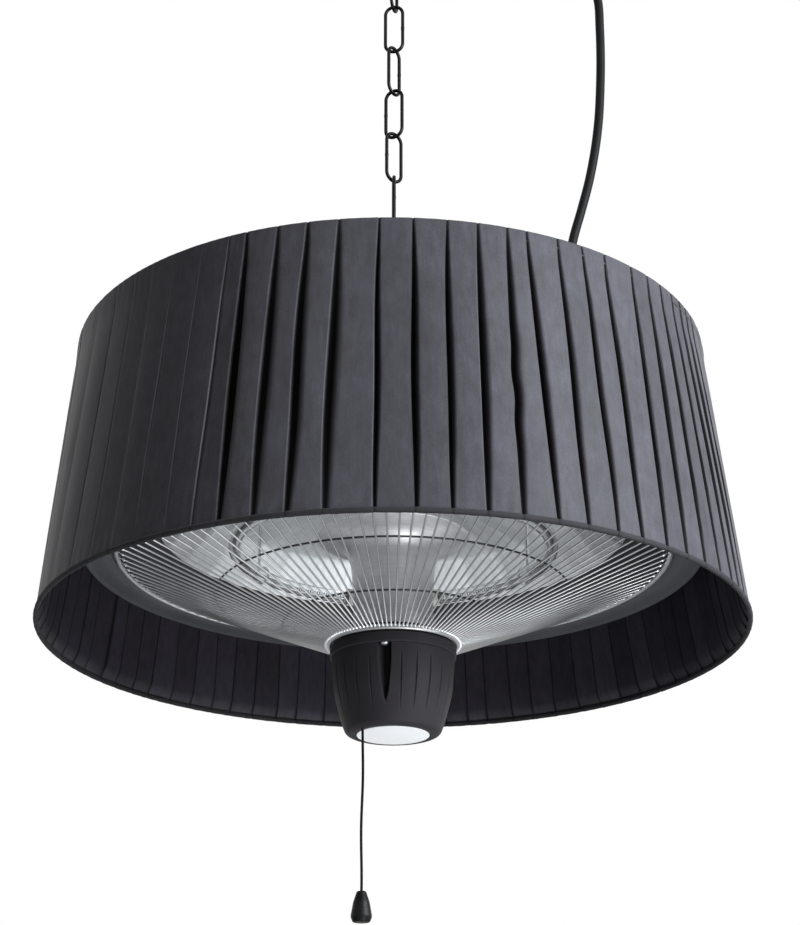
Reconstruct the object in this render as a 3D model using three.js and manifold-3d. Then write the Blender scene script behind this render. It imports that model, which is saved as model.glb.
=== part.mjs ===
// Hanging patio heater: a ring-tube heater head in a pleated drum shade, hung on a chain.
// Millimetres, +Z up. The origin is the middle of the ceiling plate's top face.
import * as THREE from "three";
import { mergeVertices } from "three/addons/utils/BufferGeometryUtils.js";
import Module from "manifold-3d";

const wasm = await Module();
wasm.setup();

// General clearances and mesh fineness
const gap = 0.3;
const cutOverrun = 2;
const weldDepth = 0.5;
const hemSegments = 54;
const headSegments = 36;
const hubSegments = 28;
const smallSegments = 12;
const boreSegments = 6;
const wireSides = 8;

// Ceiling plate and hook
const plateRadius = 32;
const plateThickness = 4;
const plateEdge = 1;
const plateScrewOffset = 21;
const plateScrewRadius = 2.2;
const plateScrewHeadRadius = 4.6;
const plateScrewHeadHeight = 2.6;
const plateScrewGrip = 3.2;
const hookWire = 6;
const hookBendRadius = 13;
const hookShank = 14;
const hookSweepShare = 1.5;
const hookSteps = 12;

// Chain of long welded links
const linkWire = 3.5;
const linkInnerLength = 48.2;
const linkInnerWidth = 13.5;
const linkBead = 0.55;
const linkBendSteps = 6;
const linkSides = 5;
const linkTurns = [0, 90, 0, -82, 12, -54, 26, -38, 84, 0, 90];

// Suspension eye, stem and nuts
const eyeWire = 6;
const eyeSegments = 16;
const eyeInnerRadius = 9;
const eyeCollarRadius = 8;
const eyeCollarHeight = 16;
const stemRadius = 5;
const stemSocket = 10;
const nutAcrossFlats = 17;
const nutHeight = 8;

// Drum shade
const shadeBottomRadius = 300;
const shadeTopRadius = 280;
const shadeAboveDish = 82;
const shadeCloth = 1.5;
const pleatCount = 75;
const pleatDepth = 2.2;
const pleatLapShare = 0.1;
const pleatRimShare = 0.35;
const hemHeight = 5;
const hemThickness = 4;
const spiderWire = 5;
const spiderArms = 3;
const spiderDrop = 7;
const spiderHubRadius = 16;
const eyeAboveShade = 15;

// Heater head: dish, reflector and top cover
const dishWall = 1.4;
const dishMouthHeight = 71;
const dishFlangeRadius = 268;
const dishFlangeDrop = 0.8;
const dishRolledEdge = 3;
const dishShoulderRadius = 226;
const dishShoulderHeight = 112;
const dishCrownRadius = 150;
const dishCrownHeight = 158;
const dishTopRadius = 84;
const dishTopHeight = 168;
const dishBowShare = 0.67;
const reflectorSides = 32;
const reflectorRadius = 205;
const reflectorBendRadius = 172;
const reflectorRimHeight = 96;
const reflectorBendHeight = 128;
const reflectorTopRadius = 46;
const reflectorBelowDish = 22;
const reflectorWall = 1;
const coverRadius = 74;
const coverHeight = 40;
const coverWall = 2;
const coverRound = 12;
const terminalLength = 44;
const terminalWidth = 20;
const terminalHeight = 17;
const terminalPlace = 34;

// Ring heating tube
const tubeRingRadius = 137;
const tubeRadius = 6;
const tubeWall = 1.2;
const tubeHeight = 80;
const tubeOpeningDegrees = 31;
const tubeSteps = 28;
const tubeSides = 8;
const filamentRadius = 1.6;
const endCapRadius = 8;
const endCapLength = 17;
const endCapGrip = 7;
const endLegWidth = 8;
const endLegThickness = 1.2;
const clipCount = 3;
const clipWire = 2.4;
const clipSteps = 9;
const clipOpening = 40;

// Conical wire guard
const guardWireCount = 108;
const guardWire = 1.7;
const guardOuterRadius = 237.8;
const guardOuterWire = 4.6;
const guardOuterHeight = 71;
const guardInnerRadius = 54.5;
const guardInnerWire = 3.6;
const guardInnerHeight = -7;
const guardHoopWire = 1.7;
const guardHoopRadii = [152, 94];
const guardHoopSides = 4;
const guardRingSides = 5;
const guardWireSides = 3;

// Hub below the guard
const centreTubeRadius = 9;
const centreTubeWall = 1.5;
const sleeveWall = 1;
const sleeveFootRadius = 33.5;
const sleeveWaistRadius = 36.5;
const sleeveWaistHeight = 64;
const sleeveBendRadius = 44;
const sleeveBendHeight = 80;
const sleeveTopRadius = 66;
const sleeveTopHeight = 89;
const collarRadius = 53.5;
const collarTop = -9;
const collarHeight = 9.4;
const collarLip = 1.2;
const collarDeck = 4;
const cupTopRadius = 52;
const cupMiddleRadius = 49.4;
const cupBottomRadius = 40;
const cupBottom = -84;
const cupMiddleShare = 0.46;
const cupRound = 6;
const cupWall = 3;
const fluteCount = 24;
const fluteWidth = 1.5;
const fluteDepth = 1.5;
const fluteLength = 46;
const fluteShare = 0.25;
const recessCount = 3;
const recessTurn = 262;
const recessRadius = 5.4;
const recessLength = 48;
const recessSet = 1.2;
const hubScrewRadius = 3.2;
const hubScrewHead = 2.4;
const labelRadius = 30.4;
const labelThickness = 1;
const labelSet = 0.6;
const hubNutAcrossFlats = 24;
const hubNutHeight = 7;

// Pull switch, pull cord and bell
const switchLength = 26;
const switchWidth = 20;
const switchHeight = 24;
const switchLegSpan = 36;
const switchLegWidth = 12;
const switchLegWall = 2.4;
const switchSlotDepth = 4;
const leverLength = 20;
const leverThickness = 3;
const leverHeight = 5;
const pullCordWire = 2.2;
const pullCordRadius = 34.7;
const pullCordTurn = 224;
const pullCordHole = 2;
const pullCordLength = 133;
const pullCordTop = -57;
const bellRadius = 8.6;
const bellNeckRadius = 4.4;
const bellHeight = 24.5;
const bellWideShare = 0.2;
const bellFootShare = 0.8;

// Power cord, its gland, coil, tie and plug
const cordWire = 8.5;
const cordSides = 8;
const cordSteps = 32;
const coilSides = 6;
const glandHeight = 20;
const glandRadius = 10;
const glandNeckRadius = 6.5;
const glandLength = 12;
const bootLength = 34;
const bootRadius = 8;
const bootTipRadius = 5.6;
const coilPitch = 9.1;
const coilTurns = 3.5;
const coilMiddleRadius = 47;
const coilStepsPerTurn = 24;
const coilAboveShade = 755;
const tieAboveShade = 757;
const tieBand = 1.2;
const tieWidth = 5;
const tieHead = 8;
const tailBend = 36;
const tailForward = 24;
const tailLiftTurns = 0.15;
const plugRadius = 17;
const plugNeckRadius = 7;
const plugNeck = 14;
const plugBody = 30;
const plugRound = 5;
const plugPinRadius = 2.4;
const plugPinLength = 19;
const plugPinSpacing = 19;

// The free stretch of the power cord, in millimetres from the shade's axis and lower rim
const cordRoute = [
  [140, 0, 201], [148, 0, 228], [150, 0, 262], [152, 0, 300], [157, 0, 340],
  [166, 0, 385], [176, 0, 417], [186, 0, 448], [193, 0, 482], [197.5, 0, 514], [200.5, 0, 548],
  [201.5, 0, 581], [201.2, 0, 616], [199.6, 0, 650], [193, 0, 674], [176, 0, 688],
];

// Places along the axis, worked out from the sizes above
const shadeHeight = dishTopHeight + shadeAboveDish;
const reflectorTopHeight = dishTopHeight - reflectorBelowDish;
const linkPitch = linkInnerLength - gap;
const hookBottom = -plateThickness - gap - hookShank - 2 * hookBendRadius;
const firstLinkHeight = hookBottom + hookWire / 2 + gap - linkInnerLength / 2;
const lastLinkHeight = firstLinkHeight - (linkTurns.length - 1) * linkPitch;
const eyeCentre = lastLinkHeight - linkInnerLength / 2 + gap - eyeInnerRadius;
const eyeFoot = eyeCentre - eyeInnerRadius - eyeWire - eyeCollarHeight + weldDepth;
const shadeFoot = eyeFoot - eyeAboveShade - shadeHeight;
const stemTop = eyeFoot + stemSocket - gap - shadeFoot;
const spiderHeight = shadeHeight - spiderDrop;
const guardRun = guardOuterRadius - guardInnerRadius;
const guardClimb = guardOuterHeight - guardInnerHeight;
const guardSlope = guardClimb / guardRun;
const guardReach = guardOuterRadius + guardOuterWire / 2;
const dishMouthRadius = (guardReach + 3 * gap) / Math.cos(Math.PI / headSegments);
const cupTop = collarTop - collarHeight - gap;

const paints = {
  blackSteel: { color: 0x17171a, roughness: 0.45, metalness: 0.7 },
  darkPaint: { color: 0x3a3a40, roughness: 0.5, metalness: 0.3 },
  zinc: { color: 0x9a9ca0, roughness: 0.4, metalness: 0.9 },
  cloth: { color: 0x2f2f36, roughness: 0.75, metalness: 0 },
  mirror: { color: 0xd2d4d6, roughness: 0.18, metalness: 1 },
  brightWire: { color: 0xc6c8ca, roughness: 0.3, metalness: 1 },
  plastic: { color: 0x232327, roughness: 0.55, metalness: 0 },
  rubber: { color: 0x1d1d20, roughness: 0.7, metalness: 0 },
  quartz: { color: 0xe6ebee, roughness: 0.08, metalness: 0 },
  filament: { color: 0x54463a, roughness: 0.6, metalness: 0.3 },
  ceramic: { color: 0xe8e4da, roughness: 0.5, metalness: 0 },
  white: { color: 0xf1f2f4, roughness: 0.35, metalness: 0 },
};

// Clean closed geometry: shared corners merged, faces pointing out
function closed(geometry) {
  const bare = geometry.clone();
  bare.deleteAttribute("normal");
  bare.deleteAttribute("uv");
  const merged = mergeVertices(bare, 1e-4);
  const place = merged.getAttribute("position");
  const corners = Array.from(merged.index.array);
  const kept = [];
  let volume = 0;
  const [a, b, c] = [new THREE.Vector3(), new THREE.Vector3(), new THREE.Vector3()];
  for (let i = 0; i < corners.length; i += 3) {
    const [p, q, r] = corners.slice(i, i + 3);
    if (p === q || q === r || r === p) continue;
    a.fromBufferAttribute(place, p);
    b.fromBufferAttribute(place, q);
    c.fromBufferAttribute(place, r);
    volume += a.dot(b.cross(c));
    kept.push(p, q, r);
  }
  if (volume < 0) kept.reverse();
  merged.setIndex(kept);
  merged.computeVertexNormals();
  return merged;
}

function toSolid(geometry) {
  const clean = closed(geometry);
  const vertProperties = new Float32Array(clean.getAttribute("position").array);
  const triVerts = new Uint32Array(clean.index.array);
  return new wasm.Manifold(new wasm.Mesh({ numProp: 3, vertProperties, triVerts }));
}

function fromSolid(solid) {
  const mesh = solid.getMesh();
  const geometry = new THREE.BufferGeometry();
  const place = new Float32Array(mesh.numVert * 3);
  for (let i = 0; i < mesh.numVert; i += 1) {
    for (let k = 0; k < 3; k += 1) place[3 * i + k] = mesh.vertProperties[mesh.numProp * i + k];
  }
  geometry.setAttribute("position", new THREE.BufferAttribute(place, 3));
  geometry.setIndex(Array.from(mesh.triVerts));
  geometry.computeVertexNormals();
  return geometry;
}

function joined(...geometries) {
  return fromSolid(geometries.map(toSolid).reduce((all, next) => all.add(next)));
}

function cut(geometry, ...tools) {
  return fromSolid(tools.map(toSolid).reduce((left, tool) => left.subtract(tool), toSolid(geometry)));
}

// Basic shapes, all with Z as their axis
function turned(profile, segments) {
  const points = profile.map(([r, z]) => new THREE.Vector2(r, z));
  return closed(new THREE.LatheGeometry(points, segments).rotateX(Math.PI / 2));
}

function turnedRing(profile, segments) {
  return turned([...profile, profile[0]], segments);
}

function cylinder(radius, bottom, top, segments = smallSegments) {
  return turned([[0, bottom], [radius, bottom], [radius, top], [0, top]], segments);
}

function pipe(inner, outer, bottom, top, segments = smallSegments) {
  return turnedRing([[inner, bottom], [outer, bottom], [outer, top], [inner, top]], segments);
}

function box(width, depth, height) {
  return new THREE.BoxGeometry(width, depth, height);
}

// A ring of round wire, with one flat of its section facing along the given slope
function hoop(radius, wire, segments, sides, slope = 0) {
  const section = [];
  for (let i = 0; i < sides; i += 1) {
    const turn = slope + ((i + 0.5) * 2 * Math.PI) / sides;
    section.push([radius + (wire / 2) * Math.cos(turn), (wire / 2) * Math.sin(turn)]);
  }
  return turnedRing(section, segments);
}

function hexNut(acrossFlats, height, bore) {
  const corner = acrossFlats / Math.sqrt(3);
  const outline = new THREE.Shape();
  for (let i = 0; i < 6; i += 1) {
    const turn = (i * Math.PI) / 3;
    const [x, y] = [corner * Math.cos(turn), corner * Math.sin(turn)];
    if (i === 0) outline.moveTo(x, y);
    else outline.lineTo(x, y);
  }
  const hole = new THREE.Path();
  hole.absarc(0, 0, bore, 0, 2 * Math.PI, true);
  outline.holes.push(hole);
  const solid = { depth: height, bevelEnabled: false, curveSegments: boreSegments };
  return new THREE.ExtrudeGeometry(outline, solid);
}

// A tube of any length whose cross-sections are given one by one, open with flat ends or closed on itself
function sweptTube(points, radii, sides, isLoop) {
  const count = points.length;
  const place = [];
  const faces = [];
  let normal = null;
  for (let i = 0; i < count; i += 1) {
    const before = points[isLoop ? (i + count - 1) % count : Math.max(i - 1, 0)];
    const after = points[isLoop ? (i + 1) % count : Math.min(i + 1, count - 1)];
    const along = new THREE.Vector3().subVectors(after, before).normalize();
    if (normal === null) {
      const aside = Math.abs(along.y) < 0.9 ? new THREE.Vector3(0, 1, 0) : new THREE.Vector3(1, 0, 0);
      normal = new THREE.Vector3().crossVectors(along, aside).normalize();
    } else {
      normal.addScaledVector(along, -normal.dot(along)).normalize();
    }
    const binormal = new THREE.Vector3().crossVectors(along, normal);
    for (let k = 0; k < sides; k += 1) {
      const turn = (2 * Math.PI * k) / sides;
      const corner = points[i].clone();
      corner.addScaledVector(normal, radii[i] * Math.cos(turn));
      corner.addScaledVector(binormal, radii[i] * Math.sin(turn));
      place.push(corner.x, corner.y, corner.z);
    }
  }
  const rings = isLoop ? count : count - 1;
  for (let i = 0; i < rings; i += 1) {
    const next = (i + 1) % count;
    for (let k = 0; k < sides; k += 1) {
      const side = (k + 1) % sides;
      const [a, b] = [i * sides + k, i * sides + side];
      const [c, d] = [next * sides + k, next * sides + side];
      faces.push(a, b, d, a, d, c);
    }
  }
  if (!isLoop) {
    for (let k = 1; k < sides - 1; k += 1) {
      const last = (count - 1) * sides;
      faces.push(0, k + 1, k, last, last + k, last + k + 1);
    }
  }
  const geometry = new THREE.BufferGeometry();
  geometry.setAttribute("position", new THREE.Float32BufferAttribute(place, 3));
  geometry.setIndex(faces);
  return closed(geometry);
}

function node(parent, name, geometry, paint, place = [0, 0, 0], turn = [0, 0, 0]) {
  const mesh = new THREE.Mesh(closed(geometry), new THREE.MeshStandardMaterial(paints[paint]));
  mesh.name = name;
  mesh.position.set(...place);
  mesh.rotation.set(...turn);
  parent.add(mesh);
  return mesh;
}

const degrees = (angle) => (angle * Math.PI) / 180;

function polar(radius, angle, height = 0) {
  return [radius * Math.cos(angle), radius * Math.sin(angle), height];
}

// Ceiling plate, its two screws and the hook
function ceilingPlate() {
  const disc = turned([
    [0, -plateThickness],
    [plateRadius - plateEdge, -plateThickness],
    [plateRadius, -plateThickness + plateEdge],
    [plateRadius, 0],
    [0, 0],
  ], hubSegments);
  const holes = [-1, 1].map((side) => {
    const hole = cylinder(plateScrewRadius + gap, -plateThickness - cutOverrun, cutOverrun);
    return hole.translate(0, side * plateScrewOffset, 0);
  });
  return cut(disc, ...holes);
}

function plateScrew() {
  const seat = -plateThickness - gap;
  return turned([
    [0, seat - plateScrewHeadHeight],
    [plateScrewHeadRadius / 2, seat - plateScrewHeadHeight],
    [plateScrewHeadRadius, seat - plateScrewHeadHeight / 3],
    [plateScrewHeadRadius, seat],
    [plateScrewRadius, seat],
    [plateScrewRadius, seat + plateScrewGrip],
    [0, seat + plateScrewGrip],
  ], smallSegments);
}

function ceilingHook() {
  const top = -plateThickness - gap;
  const bendCentre = top - hookShank - hookBendRadius;
  const points = [[0, 0, top], [0, 0, top - hookShank / 2]];
  for (let i = 0; i <= hookSteps; i += 1) {
    const turn = Math.PI / 2 - (i / hookSteps) * hookSweepShare * Math.PI;
    points.push([hookBendRadius * Math.cos(turn), 0, bendCentre + hookBendRadius * Math.sin(turn)]);
  }
  const path = points.map((p) => new THREE.Vector3(...p));
  return sweptTube(path, path.map(() => hookWire / 2), wireSides, false).rotateZ(Math.PI / 2);
}

// One oval link in the XZ plane, with a weld bead halfway up one side
function chainLink() {
  const bend = (linkInnerWidth + linkWire) / 2;
  const straight = linkInnerLength / 2 + linkWire / 2 - bend;
  const points = [];
  const radii = [];
  const add = (x, z, bead) => {
    points.push(new THREE.Vector3(x, 0, z));
    radii.push(linkWire / 2 + bead);
  };
  for (const side of [1, -1]) {
    for (let i = 0; i <= linkBendSteps; i += 1) {
      const turn = (i * Math.PI) / linkBendSteps;
      add(side * bend * Math.cos(turn), side * (straight + bend * Math.sin(turn)), 0);
    }
    if (side === 1) {
      add(-bend, linkWire / 2, 0);
      add(-bend, 0, linkBead);
      add(-bend, -linkWire / 2, 0);
    }
  }
  return sweptTube(points, radii, linkSides, true);
}

function addChain(parent) {
  linkTurns.forEach((turn, i) => {
    const height = firstLinkHeight - i * linkPitch;
    node(parent, `chain_link_${i + 1}`, chainLink(), "blackSteel", [0, 0, height], [0, 0, degrees(turn)]);
  });
}

// Eye nut that the last link carries, socketed on the stem rod
function suspensionEye() {
  const ring = hoop(eyeInnerRadius + eyeWire / 2, eyeWire, eyeSegments, 6).rotateX(Math.PI / 2);
  const top = -eyeInnerRadius - eyeWire + weldDepth;
  const collar = cylinder(eyeCollarRadius, top - eyeCollarHeight, top);
  const foot = top - eyeCollarHeight;
  const socket = cylinder(stemRadius + gap, foot - cutOverrun, foot + stemSocket);
  return cut(joined(ring, collar), socket);
}

// Pleated cloth: each ribbon laps over the next, folds widest halfway up and closing at both rims
function pleatedCloth() {
  const foot = hemHeight + gap;
  const head = shadeHeight - hemHeight - gap;
  const levelShares = [0, 0.5, 1];
  const rings = levelShares.flatMap((share) => [[share, 0], [share, shadeCloth]]);
  const pleatTurn = (2 * Math.PI) / pleatCount;
  const place = [];
  for (const [share, inset] of rings) {
    const height = foot + share * (head - foot);
    const radius = shadeBottomRadius + (shadeTopRadius - shadeBottomRadius) * (height / shadeHeight);
    const depth = pleatDepth * (share === 0.5 ? 1 : pleatRimShare);
    for (let i = 0; i < pleatCount; i += 1) {
      place.push(...polar(radius - inset, i * pleatTurn, height));
      place.push(...polar(radius - inset - depth, (i + 1 - pleatLapShare) * pleatTurn, height));
    }
  }
  const around = 2 * pleatCount;
  const faces = [];
  const strip = (low, high) => {
    for (let i = 0; i < around; i += 1) {
      const j = (i + 1) % around;
      const [a, b, c, d] = [low * around + i, low * around + j, high * around + i, high * around + j];
      faces.push(a, b, d, a, d, c);
    }
  };
  [[0, 2], [2, 4], [4, 5], [5, 3], [3, 1], [1, 0]].forEach(([low, high]) => strip(low, high));
  const geometry = new THREE.BufferGeometry();
  geometry.setAttribute("position", new THREE.Float32BufferAttribute(place, 3));
  geometry.setIndex(faces);
  return geometry;
}

function hem(radius, bottom) {
  const inner = radius - hemThickness;
  return turnedRing([
    [inner, bottom + hemHeight],
    [inner + hemThickness / 3, bottom],
    [radius - hemThickness / 3, bottom],
    [radius, bottom + hemHeight],
  ], hemSegments);
}

function shadeSpider() {
  const clothInside = shadeTopRadius - shadeCloth - pleatDepth;
  const ringRadius = clothInside - gap - spiderWire / 2;
  const ring = hoop(ringRadius, spiderWire, headSegments, 5);
  const hub = pipe(stemRadius + gap, spiderHubRadius, -spiderWire / 2, spiderWire / 2, smallSegments);
  const arms = [];
  for (let i = 0; i < spiderArms; i += 1) {
    const reach = ringRadius - spiderHubRadius + 2 * weldDepth;
    const thick = (spiderWire - weldDepth) / 2;
    const arm = new THREE.CylinderGeometry(thick, thick, reach, coilSides);
    arm.rotateZ(Math.PI / 2).translate(spiderHubRadius - weldDepth + reach / 2, 0, 0);
    arms.push(arm.rotateZ(Math.PI / 2 + (i * 2 * Math.PI) / spiderArms));
  }
  return joined(ring, hub, ...arms);
}

function addShade(parent) {
  node(parent, "shade_cloth", pleatedCloth(), "cloth");
  node(parent, "shade_lower_hem", hem(shadeBottomRadius, 0), "cloth");
  const upper = hem(shadeTopRadius, -hemHeight).rotateX(Math.PI);
  node(parent, "shade_upper_hem", upper, "cloth", [0, 0, shadeHeight - hemHeight]);
  node(parent, "shade_spider", shadeSpider(), "blackSteel", [0, 0, spiderHeight]);
  const nut = () => hexNut(nutAcrossFlats, nutHeight, stemRadius + gap);
  node(parent, "spider_nut_upper", nut(), "zinc", [0, 0, spiderHeight + spiderWire / 2 + gap]);
  node(parent, "spider_nut_lower", nut(), "zinc", [0, 0, spiderHeight - spiderWire / 2 - gap - nutHeight]);
}

// Spun dish with its flange and rolled edge, around an open mouth
function dish() {
  const rim = dishFlangeRadius;
  const low = dishMouthHeight - dishFlangeDrop;
  const bore = stemRadius + gap;
  const bowedRadius = (dishShoulderRadius + dishCrownRadius) / 2;
  const bowedHeight = THREE.MathUtils.lerp(dishShoulderHeight, dishCrownHeight, dishBowShare);
  return turnedRing([
    [dishMouthRadius, dishMouthHeight - dishWall / 2],
    [rim - dishRolledEdge, low - dishWall / 2],
    [rim, low],
    [rim - dishRolledEdge, low + dishWall],
    [dishMouthRadius + dishWall, dishMouthHeight + dishWall],
    [dishShoulderRadius + dishWall, dishShoulderHeight + dishWall],
    [bowedRadius + dishWall, bowedHeight + dishWall],
    [dishCrownRadius, dishCrownHeight + dishWall],
    [dishTopRadius, dishTopHeight + dishWall],
    [bore, dishTopHeight + dishWall],
    [bore, dishTopHeight],
    [dishTopRadius, dishTopHeight],
    [dishCrownRadius, dishCrownHeight],
    [bowedRadius, bowedHeight],
    [dishShoulderRadius, dishShoulderHeight],
  ], headSegments);
}

function reflector() {
  const bore = centreTubeRadius + gap;
  const rise = reflectorWall;
  return turnedRing([
    [reflectorRadius, reflectorRimHeight],
    [reflectorRadius, reflectorRimHeight + rise],
    [reflectorBendRadius, reflectorBendHeight + rise],
    [reflectorTopRadius, reflectorTopHeight + rise],
    [bore, reflectorTopHeight + rise],
    [bore, reflectorTopHeight],
    [reflectorTopRadius, reflectorTopHeight],
    [reflectorBendRadius, reflectorBendHeight],
  ], reflectorSides);
}

function topCover() {
  const bottom = dishTopHeight + dishWall + gap;
  const top = bottom + coverHeight;
  const bore = stemRadius + gap;
  const shell = turnedRing([
    [coverRadius, bottom],
    [coverRadius, top - coverRound],
    [coverRadius - coverRound / 3, top - coverRound / 3],
    [coverRadius - coverRound, top],
    [bore, top],
    [bore, top - coverWall],
    [coverRadius - coverRound, top - coverWall],
    [coverRadius - coverWall, top - coverRound],
    [coverRadius - coverWall, bottom],
  ], hubSegments);
  const outlet = cylinder(glandNeckRadius + gap, 0, coverRadius + cutOverrun).rotateY(Math.PI / 2);
  return cut(shell, outlet.translate(0, 0, bottom + glandHeight));
}

function terminalBlock() {
  const block = box(terminalWidth, terminalLength, terminalHeight);
  const slots = [-1, 0, 1].map((i) => {
    const slot = box(terminalWidth + cutOverrun, terminalHeight / 6, terminalHeight / 3);
    return slot.translate(0, (i * terminalLength) / 4, terminalHeight / 2);
  });
  return cut(block, ...slots);
}

function addHead(parent) {
  node(parent, "dish", dish(), "darkPaint");
  node(parent, "reflector", reflector(), "mirror");
  node(parent, "top_cover", topCover(), "darkPaint");
  const deck = dishTopHeight + dishWall + gap;
  const block = [-terminalPlace, 0, deck + terminalHeight / 2];
  node(parent, "terminal_block", terminalBlock(), "white", block);
  const stemFoot = dishTopHeight - gap - nutHeight - gap;
  node(parent, "stem_rod", cylinder(stemRadius, stemFoot, stemTop), "zinc");
  const nut = () => hexNut(nutAcrossFlats, nutHeight, stemRadius + gap);
  node(parent, "head_nut_upper", nut(), "zinc", [0, 0, deck]);
  node(parent, "head_nut_lower", nut(), "zinc", [0, 0, dishTopHeight - gap - nutHeight]);
}

// Ring heating tube: an open quartz ring with a filament, ceramic ends and wire clips
function ringPoints(radius, opening, steps) {
  const points = [];
  const start = Math.PI / 2 + degrees(opening) / 2;
  const sweep = 2 * Math.PI - degrees(opening);
  for (let i = 0; i <= steps; i += 1) {
    points.push(new THREE.Vector3(...polar(radius, start + (i / steps) * sweep)));
  }
  return points;
}

function quartzRing() {
  const path = ringPoints(tubeRingRadius, tubeOpeningDegrees, tubeSteps);
  const outer = sweptTube(path, path.map(() => tubeRadius), tubeSides, false);
  const long = ringPoints(tubeRingRadius, tubeOpeningDegrees - 1, tubeSteps);
  const inner = sweptTube(long, long.map(() => tubeRadius - tubeWall), tubeSides - 3, false);
  return cut(outer, inner);
}

function filament() {
  const opening = tubeOpeningDegrees + THREE.MathUtils.radToDeg((2 * gap) / tubeRingRadius);
  const path = ringPoints(tubeRingRadius, opening, tubeSteps);
  return sweptTube(path, path.map(() => filamentRadius), 3, false);
}

// Ceramic end on a bent tab that reaches up to the reflector
function tubeEnd(side) {
  const start = Math.PI / 2 + (side * degrees(tubeOpeningDegrees)) / 2;
  const lean = (side * degrees(360 - tubeOpeningDegrees)) / tubeSteps / 2;
  const cap = cylinder(endCapRadius, -endCapGrip, endCapLength - endCapGrip, smallSegments);
  const clear = (tubeRadius + gap) / Math.cos(Math.PI / smallSegments);
  const bore = cylinder(clear, -endCapGrip - cutOverrun, gap, smallSegments);
  const legReach = (tubeRingRadius + endLegWidth / 2) / Math.cos(Math.PI / reflectorSides);
  const legHeight = reflectorUnder(legReach) - gap - tubeHeight;
  const leg = box(endLegWidth, endLegThickness, legHeight - endCapRadius / 2);
  leg.translate(0, 0, (legHeight + endCapRadius / 2) / 2);
  const ceramic = cut(cap, bore).rotateX((side * Math.PI) / 2);
  const piece = joined(ceramic, leg.translate(0, (-side * (endCapLength - endCapGrip)) / 2, 0));
  return piece.rotateZ(start + lean).translate(...polar(tubeRingRadius, start));
}

// Height of the reflector's underside above the tube, at a radius between its top and its bend
function reflectorUnder(radius) {
  const share = (radius - reflectorTopRadius) / (reflectorBendRadius - reflectorTopRadius);
  return reflectorTopHeight + share * (reflectorBendHeight - reflectorTopHeight);
}

function tubeClip() {
  const sweep = degrees(360 - clipOpening);
  const loop = (tubeRadius + gap + clipWire / 2) / Math.cos(sweep / clipSteps / 2);
  const points = [];
  for (let i = 0; i <= clipSteps; i += 1) {
    const turn = Math.PI / 2 + degrees(clipOpening) / 2 + (i / clipSteps) * sweep;
    points.push(new THREE.Vector3(loop * Math.cos(turn), 0, loop * Math.sin(turn)));
  }
  const spring = sweptTube(points, points.map(() => clipWire / 2), 5, false);
  const top = reflectorUnder(tubeRingRadius) - gap - tubeHeight - clipWire / 2;
  const post = cylinder(clipWire / 2, 0, top, 6);
  const foot = points[points.length - 1];
  post.scale(1, 1, (top - foot.z) / top).translate(foot.x, 0, foot.z);
  return joined(spring, post);
}

function addRingTube(parent) {
  const level = new THREE.Group();
  level.position.z = tubeHeight;
  parent.add(level);
  node(level, "quartz_ring", quartzRing(), "quartz");
  node(level, "filament", filament(), "filament");
  node(level, "tube_end_left", tubeEnd(1), "ceramic");
  node(level, "tube_end_right", tubeEnd(-1), "ceramic");
  for (let i = 0; i < clipCount; i += 1) {
    const turn = Math.PI / 2 + ((2 * i + 1) * Math.PI) / clipCount;
    node(level, `tube_clip_${i + 1}`, tubeClip(), "zinc", polar(tubeRingRadius, turn), [0, 0, turn]);
  }
}

// Conical guard: straight wires welded between the outer ring and the hub ring
function guardWireStraight() {
  const length = Math.hypot(guardRun, guardClimb);
  const wire = new THREE.CylinderGeometry(guardWire / 2, guardWire / 2, length, guardWireSides);
  wire.rotateX(Math.PI / 2).rotateY(Math.PI / 2 - Math.atan(guardSlope));
  return wire.translate(guardInnerRadius + guardRun / 2, 0, guardInnerHeight + guardClimb / 2);
}

function guard() {
  const around = guardWireCount / 2;
  const lean = Math.atan(guardSlope);
  const outer = hoop(guardOuterRadius, guardOuterWire, around, guardRingSides, lean + Math.PI);
  const inner = hoop(guardInnerRadius, guardInnerWire, around, guardRingSides, lean);
  outer.translate(0, 0, guardOuterHeight);
  inner.translate(0, 0, guardInnerHeight);
  let solid = toSolid(outer).add(toSolid(inner));
  for (let i = 0; i < guardWireCount; i += 1) {
    const turn = Math.PI / 2 + ((i + 0.5) * 2 * Math.PI) / guardWireCount;
    solid = solid.add(toSolid(guardWireStraight().rotateZ(turn)));
  }
  return fromSolid(solid);
}

function addGuard(parent) {
  node(parent, "guard", guard(), "brightWire");
  guardHoopRadii.forEach((radius, i) => {
    const wireTop = guardInnerHeight + (radius - guardInnerRadius) * guardSlope;
    const lift = ((guardWire + guardHoopWire) / 2 + gap) * Math.hypot(1, guardSlope);
    const ring = hoop(radius, guardHoopWire, headSegments, guardHoopSides);
    node(parent, `guard_hoop_${i + 1}`, ring, "brightWire", [0, 0, wireTop + lift]);
  });
}

// Hub: collar, fluted cup, screws, bare plate, and the centre tube that carries them
function hubCollar() {
  const bottom = collarTop - collarHeight;
  const bore = centreTubeRadius + gap;
  return turnedRing([
    [bore, collarTop - collarDeck],
    [cupTopRadius - cupWall - gap, collarTop - collarDeck],
    [cupTopRadius - cupWall - gap, bottom],
    [collarRadius, bottom],
    [collarRadius, collarTop - collarLip],
    [collarRadius - collarLip, collarTop],
    [bore, collarTop],
  ], hubSegments);
}

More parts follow.
